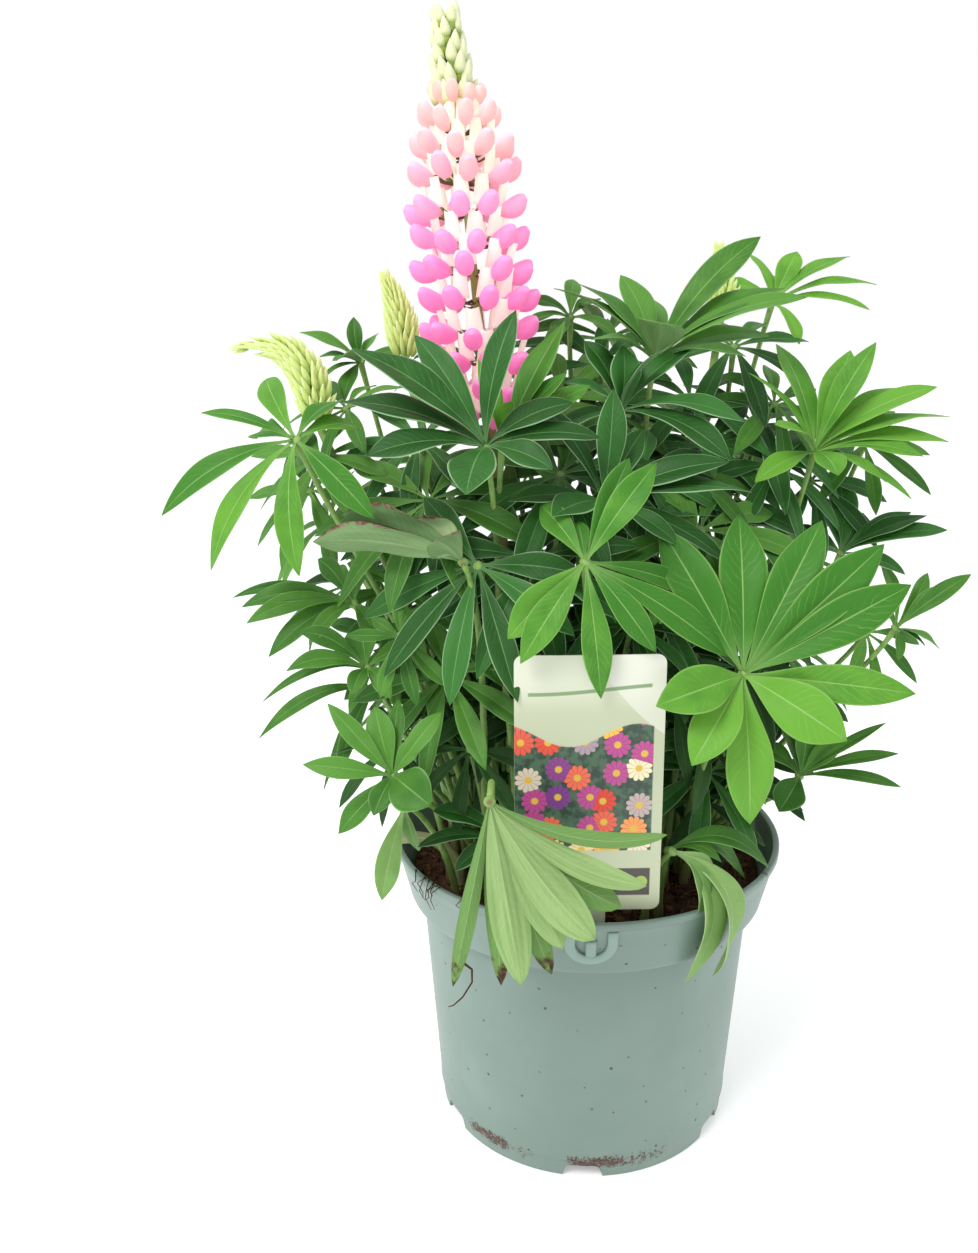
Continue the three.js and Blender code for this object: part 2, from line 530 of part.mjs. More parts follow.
function evenRib(leaf, index, i, room) {
  const { normal, down, side } = leafFrame(leaf);
  const share = (i - (leaf.count - 1) / 2) / (leaf.count - 1);
  const angle = share * radians(leaf.spread) + radians(leaf.turn) + 0.06 * draw(index, i, 1);
  const lift = radians(leaf.cup) + 0.14 * draw(index, i, 2);
  const length = leaf.size * (1 - 0.28 * (2 * share) ** 2) * (1 + 0.07 * draw(index, i, 3));
  const bend = leaf.droop * (1 + 0.4 * draw(index, i, 4));
  let along = down.clone().multiplyScalar(Math.cos(angle)).addScaledVector(side, Math.sin(angle));
  along.multiplyScalar(Math.cos(lift)).addScaledVector(normal, Math.sin(lift));
  let across = normal.clone().cross(along).normalize();
  const point = at(leaf.hub);
  const start = point.clone().addScaledVector(along, 0.5);
  const stations = [];
  const kept = leaf.fine ? blade.fineStations : blade.stations;
  for (let step = 1; step <= blade.steps; step++) {
    along.addScaledVector(normal, -bend / blade.steps);
    along.addScaledVector(up, -leaf.sag / blade.steps).normalize();
    point.addScaledVector(along, length / blade.steps);
    across = across.clone().addScaledVector(along, -across.dot(along)).normalize();
    if (kept.includes(step)) {
      const half = (leaf.width * leaf.size * outline(step / blade.steps)) / 2;
      stations.push({ point: point.clone(), across, above: along.clone().cross(across), half });
    }
  }
  stations.at(-1).point.addScaledVector(along, room);
  return { start, stations };
}

// One leaflet: a pointed blade with a sharp edge on either side, thickest along its midrib.
function makeLeaflet(leaf, index, i, grown) {
  const { start, stations } = midrib(leaf, index, i, 3 * grown);
  const chord = stations[0].point.clone().sub(start).normalize();
  start.addScaledVector(chord, -6 * grown);
  const points = [start];
  const triangles = [];
  const rings = stations.slice(0, -1);
  for (const { point, across, above, half } of rings) {
    const reach = (half + 4 * grown) * Math.cos(radians(leaf.fold));
    const raise = (half + 4 * grown) * Math.sin(radians(leaf.fold));
    const middle = point.clone().addScaledVector(above, raise);
    const edge = (sign) => middle.clone().addScaledVector(across, sign * reach);
    points.push(edge(1), point.clone().addScaledVector(above, blade.above + 2 * grown));
    points.push(edge(-1), point.clone().addScaledVector(above, -blade.below - 2 * grown));
  }
  const tip = points.push(stations.at(-1).point) - 1;
  for (let k = 0; k < 4; k++) {
    const next = (k + 1) % 4;
    triangles.push([0, 1 + next, 1 + k]);
    for (let ring = 0; ring < rings.length - 1; ring++) {
      const a = 1 + ring * 4;
      triangles.push([a + k, a + next, a + next + 4], [a + k, a + next + 4, a + k + 4]);
    }
    triangles.push([tip - 4 + k, tip - 4 + next, tip]);
  }
  return solidFrom(points, triangles);
}

// The leaflets and the small hub they spring from. A grown blade is the same with room all round.
function makeBlade(leaf, index, grown = 0) {
  const { normal } = leafFrame(leaf);
  const hub = at(leaf.hub);
  const below = hub.clone().addScaledVector(normal, -blade.hubDepth - grown);
  const above = hub.clone().addScaledVector(normal, blade.hubDepth + grown);
  const middle = blade.hubRadius + grown;
  const parts = [tube([below, above], [middle, middle * 0.7], 5)];
  const count = leaf.tips ? leaf.tips.length : leaf.count;
  for (let i = 0; i < count; i++) parts.push(makeLeaflet(leaf, index, i, grown));
  return join(parts);
}

// The leaf's stalk rises from the soil and meets the hub from behind.
function stalkCurve(leaf) {
  const foot = new THREE.Vector3(leaf.foot[0], leaf.foot[1], soil.level + 4);
  const hub = at(leaf.hub);
  const reach = foot.distanceTo(hub);
  const { normal } = leafFrame(leaf);
  const arrive = leaf.arrive ? at(leaf.arrive) : normal.clone().multiplyScalar(-0.25 * reach);
  const rise = foot.clone().addScaledVector(up, 0.4 * reach);
  rise.x += 0.12 * (hub.x - foot.x);
  rise.y += 0.12 * (hub.y - foot.y);
  const before = hub.clone().add(arrive).addScaledVector(up, leaf.arrive ? 0 : -0.1 * reach);
  return new THREE.CubicBezierCurve3(foot, rise, before, hub);
}

function makeStalk(leaf, grown = 0) {
  const path = stalkCurve(leaf);
  const curve = path.getPoints(stalk.steps);
  curve.at(-1).addScaledVector(path.getTangent(1), 3 * grown);
  const root = new THREE.Vector3(leaf.foot[0], leaf.foot[1], soil.level - soil.holeDepth + gap);
  const radii = curve.map(
    (_, i) => THREE.MathUtils.lerp(stalk.footRadius, stalk.hubRadius, i / stalk.steps) + grown,
  );
  return tube([root, ...curve], [stalk.footRadius + grown, ...radii], stalk.sides);
}

function makeStub(grown = 0) {
  const [x, y] = stub.foot;
  const root = [x, y, soil.level - soil.holeDepth + gap];
  const centres = [root, ...stub.through].map(at);
  return tube(centres, centres.map(() => stub.radius + grown), 6);
}

const spike = {
  foot: [-34, 14],
  stem: 3,
  base: [-46, 0, 354],
  top: [-63, 0, 526],
  whorls: 11,
  florets: 7,
  spacing: 12.6,
  reach: 23, // how far a floret stands off the stem at the lowest whorl
  narrowing: [3, 9], // by how much less at the highest: evenly, and close to the tip only
  tipWhorls: 6,
};

const budSpikes = [
  { name: "bud_spike_left", stem: 2.1, width: 15,
    foot: [-58, 16], base: [-128, 20, 360], top: [-163, 20, 388] },
  { name: "bud_spike_middle", stem: 2.1, width: 13,
    foot: [-44, 20], base: [-87, 40, 384], top: [-94, 40, 418] },
  { name: "bud_spike_right", stem: 2.1, width: 12,
    foot: [42, 26], base: [70, 60, 398], top: [68, 60, 430] },
];

// A pointed closed form of few sides: a list of [share of length, half height, half width].
function pod(base, along, rise, sections, length, sides = 6) {
  const across = along.clone().cross(rise).normalize();
  const lift = across.clone().cross(along);
  const points = [base.clone()];
  const triangles = [];
  sections.forEach(([share, high, wide]) => {
    for (let k = 0; k < sides; k++) {
      const angle = (k / sides) * 2 * Math.PI;
      points.push(
        base
          .clone()
          .addScaledVector(along, share * length)
          .addScaledVector(lift, Math.cos(angle) * high)
          .addScaledVector(across, Math.sin(angle) * wide),
      );
    }
  });
  const last = points.push(base.clone().addScaledVector(along, length)) - 1;
  for (let k = 0; k < sides; k++) {
    const next = (k + 1) % sides;
    triangles.push([0, 1 + next, 1 + k]);
    for (let ring = 0; ring < sections.length - 1; ring++) {
      const a = 1 + ring * sides;
      const b = a + sides;
      triangles.push([a + k, a + next, b + next], [a + k, b + next, b + k]);
    }
    const top = 1 + (sections.length - 1) * sides;
    triangles.push([top + k, top + next, last]);
  }
  return solidFrom(points, triangles);
}

function stemCurve(foot, base, top) {
  const lean = at(top).sub(at(base)).multiplyScalar(0.45);
  const start = new THREE.Vector3(foot[0], foot[1], soil.level + 4);
  const rise = start.clone().addScaledVector(up, 90);
  return new THREE.CubicBezierCurve3(start, rise, at(base).sub(lean), at(base));
}

// One floret: its short stalk, the pouch of wings and keel, and the folded banner above it.
function makeFloret(centre, out, age, whorl, i) {
  const axis = up.clone();
  const swing = out.clone().addScaledVector(up, 0.08 * draw(whorl, i, 7)).normalize();
  const reach = spike.reach - spike.narrowing[0] * age - spike.narrowing[1] * age ** 6;
  const size = THREE.MathUtils.lerp(1, 0.72, age);
  const start = centre.clone().addScaledVector(swing, 0.8);
  const length = reach + 5 * size;
  const pouch = pod(start, swing, axis, [[(reach - 1) / length, 5.2 * size, 4.6 * size]], length, 4);
  const lean = axis.clone().addScaledVector(swing, 0.3).normalize();
  const root = start.clone().addScaledVector(swing, reach - 4.5 * size);
  const banner = pod(root, lean, swing, [[0.6, 2 * size, 3.4 * size]], 13 * size, 4);
  return [pouch, banner];
}

// The stem of a flower spike, from its hole in the soil to its tip.
function makeStem({ foot, base, top, stem }, grown = 0) {
  const root = new THREE.Vector3(foot[0], foot[1], soil.level - soil.holeDepth + gap);
  const curve = stemCurve(foot, base, top).getPoints(5);
  const radii = curve.map(() => stem + grown);
  return tube([root, ...curve, at(top)], [stem + grown, ...radii, 1 + grown], 5);
}

function makeSpike() {
  const base = at(spike.base);
  const top = at(spike.top);
  const solids = [makeStem(spike)];
  const line = top.clone().sub(base);
  const length = line.length();
  line.normalize();
  for (let whorl = 0; whorl < spike.whorls; whorl++) {
    const age = whorl / (spike.whorls - 1);
    const centre = base.clone().addScaledVector(line, whorl * spike.spacing + 2);
    for (let i = 0; i < spike.florets; i++) {
      const angle = ((i + (whorl % 2) / 2 + 0.1 * draw(whorl, i, 5)) / spike.florets) * 2 * Math.PI;
      const out = new THREE.Vector3(Math.cos(angle), Math.sin(angle), 0);
      solids.push(...makeFloret(centre, out, age, whorl, i));
    }
  }
  const start = spike.whorls * spike.spacing;
  solids.push(...makeBuds(base.clone().addScaledVector(line, start), top, spike.tipWhorls, 9.5, 6));
  return join(solids).simplify(0.1);
}

// Overlapping pointed buds that close towards the tip of a spike.
function makeBuds(from, to, whorls, width, across) {
  const line = to.clone().sub(from);
  const length = line.length();
  line.normalize();
  const buds = [];
  for (let whorl = 0; whorl < whorls; whorl++) {
    const share = whorl / whorls;
    const radius = (width / 2) * (1 - 0.75 * share ** 1.5);
    for (let i = 0; i < across; i++) {
      const angle = ((i + (whorl % 2) / 2) / across) * 2 * Math.PI;
      const out = new THREE.Vector3(Math.cos(angle), Math.sin(angle), 0);
      out.addScaledVector(line, -out.dot(line)).normalize();
      const root = from.clone().addScaledVector(line, share * length - 2).addScaledVector(out, 0.4);
      const tilt = line.clone().addScaledVector(out, 0.12 * radius * (1 - share)).normalize();
      const thick = Math.max(radius * 0.5, 1);
      buds.push(pod(root, tilt, out, [[0.5, thick, thick]], length / whorls + 9, 4));
    }
  }
  return buds;
}

function makeBudSpike(bud) {
  const buds = makeBuds(at(bud.base), at(bud.top), 4, bud.width, 5);
  return join([makeStem(bud), ...buds]).simplify(0.05);
}

// Nodes never cross: a leaf gives way to the stalks, the flowers and the leaves made before it.
function clearOf(solid, box, others) {
  let body = solid;
  for (const other of others) {
    if (!other.box.intersectsBox(box)) continue;
    body = body.subtract(other.solid);
  }
  return body;
}

function boxOf(solid) {
  const { min, max } = solid.boundingBox();
  return new THREE.Box3(at(min), at(max));
}

function obstacle(solid) {
  return { solid, box: boxOf(solid) };
}

const lupin = new THREE.Group();

function add(name, solid, look) {
  const material = new THREE.MeshStandardMaterial({ metalness: 0, ...colours[look] });
  const mesh = new THREE.Mesh(geometryOf(solid), material);
  mesh.name = name;
  lupin.add(mesh);
}

const specs = leaves.map((leaf) => ({ ...usual, ...leaf }));
const stems = [
  ...specs.map((leaf) => ({ foot: leaf.foot, radius: stalk.footRadius })),
  ...[spike, ...budSpikes].map(({ foot, stem }) => ({ foot, radius: stem })),
  stub,
];

const potSolid = makePot();
const labelSolid = solidOf(makeLabel());
const spikeSolid = makeSpike();
add("pot", potSolid, "pot");
add("soil", makeSoil(stems), "soil");
add("label", labelSolid, "label");
add("flower_spike", spikeSolid, "flower");
for (const bud of budSpikes) add(bud.name, makeBudSpike(bud), "buds");
add("stalk_stub", makeStub(), "pale");

const grownStems = [spike, ...budSpikes].map((bud) => makeStem(bud, gap));
const budSolids = budSpikes.map(makeBudSpike);
const fixed = [
  potSolid, labelSolid, spikeSolid, makeStub(gap), ...budSolids, ...grownStems,
].map(obstacle);
const stalks = specs.map((leaf) => obstacle(makeStalk(leaf, gap)));
const placed = [];
specs.forEach((leaf, index) => {
  let body = makeBlade(leaf, index);
  const others = [...fixed, ...stalks.filter((_, i) => i !== index), ...placed];
  body = clearOf(body, boxOf(body), others);
  body = largestBody(body.add(makeStalk(leaf)).simplify(0.1));
  placed.push(obstacle(makeBlade(leaf, index, 2 * gap)));
  add(leaf.name, body, leaf.look ?? "leaf");
});

export default lupin;
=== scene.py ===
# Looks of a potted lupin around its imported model. Sizes are in millimetres until a mesh is made.
import math

import bmesh
import bpy
import numpy as np
from mathutils import Matrix, Vector, noise


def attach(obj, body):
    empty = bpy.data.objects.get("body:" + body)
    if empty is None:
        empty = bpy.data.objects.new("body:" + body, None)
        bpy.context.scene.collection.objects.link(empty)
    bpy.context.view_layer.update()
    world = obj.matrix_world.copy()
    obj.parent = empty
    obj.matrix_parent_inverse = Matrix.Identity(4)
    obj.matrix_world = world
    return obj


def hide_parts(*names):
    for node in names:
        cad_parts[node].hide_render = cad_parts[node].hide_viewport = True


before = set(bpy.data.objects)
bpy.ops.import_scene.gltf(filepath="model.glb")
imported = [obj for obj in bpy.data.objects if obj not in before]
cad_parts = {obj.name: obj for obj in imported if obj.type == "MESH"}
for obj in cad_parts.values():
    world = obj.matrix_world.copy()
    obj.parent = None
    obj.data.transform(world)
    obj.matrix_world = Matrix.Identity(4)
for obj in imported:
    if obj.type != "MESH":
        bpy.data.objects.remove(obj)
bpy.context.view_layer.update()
mm = 0.001
up = np.array([0.0, 0.0, 1.0])


def draw(a, b, c):  # a repeatable draw between -1 and 1
    x = math.sin(a * 12.9898 + b * 78.233 + c * 37.719) * 43758.5453
    return (x - math.floor(x)) * 2 - 1


def unit(v):
    return v / np.linalg.norm(v)


def lerp(a, b, share):
    return a + (b - a) * share


def link(name, data):  # an object of this mesh, camera or lamp, in the scene
    made = bpy.data.objects.new(name, data)
    bpy.context.scene.collection.objects.link(made)
    return made


# camera

view = dict(place=(-47.5, -521, 405), pitch=16.0, roll=-0.6, focal=1120, longSide=1253)


def makeCamera():
    pitch = math.radians(view["pitch"])
    roll = math.radians(view["roll"])
    forward = Vector((0, math.cos(pitch), -math.sin(pitch)))
    level = Vector((1, 0, 0))
    above = Vector((0, math.sin(pitch), math.cos(pitch)))
    right = level * math.cos(roll) + above * math.sin(roll)
    top = above * math.cos(roll) - level * math.sin(roll)
    data = bpy.data.cameras.new("camera")
    data.sensor_width = 36
    data.lens = data.sensor_width * view["focal"] / view["longSide"]
    data.clip_start = 0.01
    camera = link("camera", data)
    turn = Matrix((right, top, -forward)).transposed().to_4x4()
    camera.matrix_world = Matrix.Translation(Vector(view["place"]) * mm) @ turn
    bpy.context.scene.camera = camera


makeCamera()


# shaders

class Value:  # a socket in a sum or product: each operator adds its Math node
    def __init__(self, tree, socket):
        self.tree = tree
        self.socket = socket

    def work(self, operation, *items, clamp=False):
        node = self.tree.nodes.new("ShaderNodeMath")
        node.operation = operation
        node.use_clamp = clamp
        for place, item in enumerate(items):
            if isinstance(item, Value):
                self.tree.links.new(item.socket, node.inputs[place])
            else:
                node.inputs[place].default_value = item
        return Value(self.tree, node.outputs[0])

    def __add__(self, other):
        return self.work("ADD", self, other)

    def __radd__(self, other):
        return self.work("ADD", other, self)

    def __sub__(self, other):
        return self.work("SUBTRACT", self, other)

    def __rsub__(self, other):
        return self.work("SUBTRACT", other, self)

    def __mul__(self, other):
        return self.work("MULTIPLY", self, other)

    def __rmul__(self, other):
        return self.work("MULTIPLY", other, self)

    def __truediv__(self, other):
        return self.work("DIVIDE", self, other)

    def __pow__(self, other):
        return self.work("POWER", self, other)

    def __abs__(self):
        return self.work("ABSOLUTE", self)

    def clamped(self):
        return self.work("ADD", self, 0.0, clamp=True)

    def sine(self):
        return self.work("SINE", self)

    def most(self, other):
        return self.work("MAXIMUM", self, other)

    def turnFrom(self, other):  # the angle of a place that lies this far up and the other across
        return self.work("ARCTAN2", self, other)


def paint(code):  # the linear colour of a hex code
    parts = [int(code[i:i + 2], 16) / 255 for i in (0, 2, 4)]
    return [c / 12.92 if c <= 0.04045 else ((c + 0.055) / 1.055) ** 2.4 for c in parts] + [1.0]


class Nodes:  # the nodes of one material, or of the air
    def __init__(self, owner):
        owner.use_nodes = True
        self.owner = owner
        self.tree = owner.node_tree
        self.tree.nodes.clear()

    def node(self, kind, settings=None, sockets=None, output=0):
        made = self.tree.nodes.new("ShaderNode" + kind)
        for key, value in (settings or {}).items():
            if key == "stops":
                self.setStops(made.color_ramp, value)
            else:
                setattr(made, key, value)
        for key, value in (sockets or {}).items():
            if isinstance(value, Value):
                self.tree.links.new(value.socket, made.inputs[key])
            else:
                made.inputs[key].default_value = value
        return Value(self.tree, made.outputs[output])

    def setStops(self, ramp, stops):
        for _ in stops[2:]:
            ramp.elements.new(0.5)
        for element, (position, colour) in zip(ramp.elements, stops):
            element.position = position
            element.color = colour

    def blend(self, factor, first, second, kind="MIX"):
        settings = dict(data_type="RGBA", blend_type=kind, clamp_factor=True)
        return self.node("Mix", settings, {0: factor, 6: first, 7: second}, output=2)

    def band(self, value, low, high):  # 0 below low, 1 above high, smooth between
        sockets = {"Value": value, "From Min": low, "From Max": high}
        return self.node("MapRange", dict(interpolation_type="SMOOTHSTEP"), sockets)

    def split(self, vector):
        made = self.tree.nodes.new("ShaderNodeSeparateXYZ")
        self.tree.links.new(vector.socket, made.inputs[0])
        return [Value(self.tree, socket) for socket in made.outputs]

    def vector(self, x, y, z):
        return self.node("CombineXYZ", None, {0: x, 1: y, 2: z})

    def finish(self, shader, kind="Material"):
        made = self.tree.nodes.new("ShaderNodeOutput" + kind)
        self.tree.links.new(shader.socket, made.inputs["Surface"])
        return self.owner


class Finish(Nodes):  # the look of one material
    def __init__(self, name):
        super().__init__(bpy.data.materials.new(name))
        metres = self.node("TexCoord", output="Object")
        self.place = self.node("VectorMath", dict(operation="SCALE"), {0: metres, "Scale": 1 / mm})

    def noise(self, scale, detail=3.0, vector=None, roughness=0.55):
        sockets = {"Vector": vector or self.place, "Scale": scale, "Detail": detail, "Roughness": roughness}
        return self.node("TexNoise", None, sockets)

    def marks(self):  # across, along and seed of a leaflet or petal, and which side it is
        grain = self.node("Attribute", dict(attribute_name="grain"), output="Vector")
        side = self.node("Attribute", dict(attribute_name="side"), output="Fac")
        return self.split(grain) + [side]

    def bump(self, height, strength, distance):
        sockets = {"Height": height, "Strength": strength, "Distance": distance * mm}
        return self.node("Bump", None, sockets, output="Normal")

    def surface(self, colour, roughness, normal=None, glow=None, **fixed):
        sockets = {"Base Color": colour, "Roughness": roughness}
        sockets.update(fixed)
        if normal:
            sockets["Normal"] = normal
        skin = self.node("BsdfPrincipled", None, sockets)
        if glow:
            light = self.node("BsdfTranslucent", None, {"Color": paint(glow["colour"])})
            skin = self.node("MixShader", None, {0: glow["share"], 1: skin, 2: light})
        return self.finish(skin)


# meshes

class Shape:  # points, faces and marks gathered into one object
    def __init__(self):
        self.points = []
        self.faces = []
        self.finishes = []
        self.grain = []
        self.side = []
        self.count = 0

    def add(self, points, faces, finish=0, grain=None, side=None):
        points = np.asarray(points, float).reshape(-1, 3)
        size = len(points)
        self.points.append(points)
        start = self.count
        self.faces.extend(tuple(start + k for k in face) for face in faces)
        self.finishes.extend([finish] * len(faces))
        self.grain.append(np.zeros((size, 3)) if grain is None else np.asarray(grain, float).reshape(-1, 3))
        self.side.append(np.ones(size) if side is None else np.asarray(side, float).reshape(-1))
        self.count += size

    def build(self, name, materials, smooth=True):
        mesh = bpy.data.meshes.new(name)
        mesh.from_pydata((np.concatenate(self.points) * mm).tolist(), [], self.faces)
        for material in materials:
            mesh.materials.append(material)
        mesh.polygons.foreach_set("material_index", np.array(self.finishes, np.int32))
        mesh.polygons.foreach_set("use_smooth", np.full(len(self.faces), smooth))
        grain = mesh.attributes.new("grain", "FLOAT_VECTOR", "POINT")
        grain.data.foreach_set("vector", np.concatenate(self.grain).astype(np.float32).ravel())
        side = mesh.attributes.new("side", "FLOAT", "POINT")
        side.data.foreach_set("value", np.concatenate(self.side).astype(np.float32))
        return link(name, mesh)


def ringFaces(rings, around, capped=True):  # faces of a closed tube, ring after ring
    faces = []
    for ring in range(rings - 1):
        for k in range(around):
            a = ring * around + k
            b = ring * around + (k + 1) % around
            faces.append((a, b, b + around, a + around))
    if capped:
        faces.append(tuple(range(around))[::-1])
        faces.append(tuple((rings - 1) * around + k for k in range(around)))
    return faces


def tube(centres, radii, around=8):  # points of a round tube through centres
    centres = np.asarray(centres, float)
    ahead = np.gradient(centres, axis=0)
    side = np.array([1.0, 0.0, 0.0])
    points = []
    for centre, way, radius in zip(centres, ahead, radii):
        way = unit(way)
        side = unit(side - way * side.dot(way))
        across = np.cross(way, side)
        angles = np.arange(around) * 2 * math.pi / around
        points.append(centre + radius * (np.outer(np.cos(angles), side) + np.outer(np.sin(angles), across)))
    return np.concatenate(points)


def bezier(a, b, c, d, steps):
    t = np.linspace(0, 1, steps + 1)[:, None]
    return (1 - t) ** 3 * a + 3 * (1 - t) ** 2 * t * b + 3 * (1 - t) * t * t * c + t ** 3 * d


def sheetFaces(rows, columns):  # a thin closed sheet: upper grid, lower grid, rim
    count = (rows + 1) * columns
    faces = []
    for row in range(rows):
        for k in range(columns - 1):
            a = row * columns + k
            faces.append((a, a + 1, a + 1 + columns, a + columns))
            b = a + count
            faces.append((b + columns, b + columns + 1, b + 1, b))
        left = row * columns
        right = left + columns - 1
        faces.append((left, left + columns, left + columns + count, left + count))
        faces.append((right + count, right + columns + count, right + columns, right))
    first = list(range(columns))
    last = [rows * columns + k for k in first]
    faces.append(tuple([k + count for k in first] + first[::-1]))
    faces.append(tuple(last + [k + count for k in reversed(last)]))
    return faces


def place(piece, slot, *nodes):
    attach(piece, "root")
    if nodes:
        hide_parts(*nodes)
    return piece


print("stage: camera and helpers")


# leaves

def leafFinish(name, tone):
    f = Finish(name)
    across, along, seed, side = f.marks()
    fromRib = abs(across)
    rib = (1 - f.band(fromRib, 0.012, 0.05)) * (1 - along * 0.45)
    sweep = along * 15 - fromRib * 2.6 + f.noise(0.12, 2) * 1.6
    lines = (1 - f.band(abs((sweep * math.pi).sine()), 0.0, 0.3)) * (1 - f.band(fromRib, 0.7, 1.0))
    mottle = f.noise(0.09, 4)
    upper = f.blend(f.band(mottle * 0.5 + seed * 0.6, 0.28, 0.78), paint(tone["upper"]), paint(tone["deep"]))
    upper = f.blend(f.band(along, 0.3, 0.0) * 0.45, upper, paint(tone["vein"]))
    upper = f.blend(lines * f.band(f.noise(0.06, 2), 0.35, 0.65) * tone["lines"], upper, paint(tone["vein"]))
    upper = f.blend(f.band(fromRib, 0.9, 0.98) * tone["edge"], upper, paint(tone["margin"]))
    upper = f.blend(rib * tone["rib"], upper, paint(tone["vein"]))
    down = f.noise(1.0, 4, f.vector(across * 5, along * 2.2, seed * 20))
    under = f.blend(f.band(down, 0.35, 0.7), paint(tone["under"]), paint(tone["down"]))
    under = f.blend(f.band(seed, 0.45, 0.85) * 0.75, under, paint(tone["deep"]))
    under = f.blend(rib.most(lines * 0.35) * 0.6, under, paint(tone["vein"]))
    colour = f.blend(f.band(side, 0.4, 0.6), under, upper)
    if "wither" in tone:
        dry = tone["wither"]
        reach = across * dry["across"] + along * dry["along"] + f.noise(0.22, 4) * 0.5
        burnt = f.blend(f.band(f.noise(0.5, 3), 0.4, 0.62), paint(dry["dark"]), paint(dry["light"]))
        share = f.band(reach, dry["start"], dry["start"] + 0.1)
        share = share * f.band(seed, dry["chosen"], dry["chosen"] + 0.02)
        colour = f.blend(share, colour, burnt)
    height = f.noise(0.9, 2) * 0.35 - lines * 0.45 - rib * 0.6 + down * 0.2
    rough = f.band(side, 0.6, 0.4) * 0.25 + tone["rough"] + mottle * 0.1
    glow = dict(share=tone["through"], colour=tone["throughColour"])
    return f.surface(colour, rough, f.bump(height, 0.3, 0.25), glow, **{"Specular IOR Level": 0.27})


leafTones = dict(
    young=dict(upper="6fae3b", deep="3f8028", vein="a9d27e", margin="9ccb6c", under="9cbf76", down="86ad68",
               throughColour="b6e04a", through=0.2, rough=0.45, lines=0.3, edge=0.6, rib=0.85),
    green=dict(upper="5b9438", deep="376c23", vein="92c26e", margin="8fbe74", under="8fb274", down="7ba26a",
               throughColour="9fd445", through=0.17, rough=0.43, lines=0.28, edge=0.7, rib=0.75),
    shade=dict(upper="38742e", deep="22541a", vein="7db070", margin="a8cc9c", under="7fa272", down="6c9266",
               throughColour="6fb04a", through=0.1, rough=0.45, lines=0.2, edge=0.75, rib=0.75),
    # deep: a darker copy of the leaf colours, painted shade for the leaves low inside the mound
    deep=dict(upper="2f5a24", deep="1f4217", vein="5f9050", margin="6f9c60", under="6a8f5c", down="57794c",
              throughColour="5a9a3a", through=0.1, rough=0.5, lines=0.1, edge=0.6, rib=0.5),
    pale=dict(upper="8fb86a", deep="618f48", vein="c3dca0", margin="c4dca6", under="a0be7e", down="88aa69",
              throughColour="c4e07a", through=0.2, rough=0.55, lines=0.2, edge=0.6, rib=0.6,
              wither=dict(across=0.0, along=1.0, start=1.12, chosen=0.93, dark="3d2a26", light="6b4a3c")),
    withered=dict(upper="6d9a55", deep="4d7d44", vein="b4c490", margin="8c7a5e", under="a8c28c",
                  down="93b07c", throughColour="9aa850", through=0.12, rough=0.6, lines=0.25, edge=0.3,
                  rib=0.5, wither=dict(across=0.72, along=0.25, start=1.0, chosen=-1.0,
                                       dark="6b4540", light="9c7a6e")),
)
leafFinishes = {key: leafFinish("leaf" + key.capitalize(), tone) for key, tone in leafTones.items()}
leafSlots = dict(young="leaf_green", green="leaf_green", shade="leaf_dark", deep="leaf_dark",
                 pale="leaf_pale", withered="leaf_pale")


def stalkFinish():
    f = Finish("leafStalk")
    across, along, seed, _ = f.marks()
    tone = f.blend(f.band(along, 0.0, 0.35), paint("868f56"), paint("8bb05c"))
    tone = f.blend(f.band(f.noise(0.25, 3), 0.45, 0.75), tone, paint("6c9448"))
    tone = f.blend(f.band(along, 0.12, 0.0) * 0.7, tone, paint("7d5a4a"))
    ridge = (across * 6 * math.pi).sine()
    glow = dict(share=0.1, colour="b6e04a")
    return f.surface(tone, 0.5 + seed * 0.05, f.bump(ridge * 0.3 + f.noise(2.0, 2), 0.3, 0.2), glow)


stalkSkin = stalkFinish()

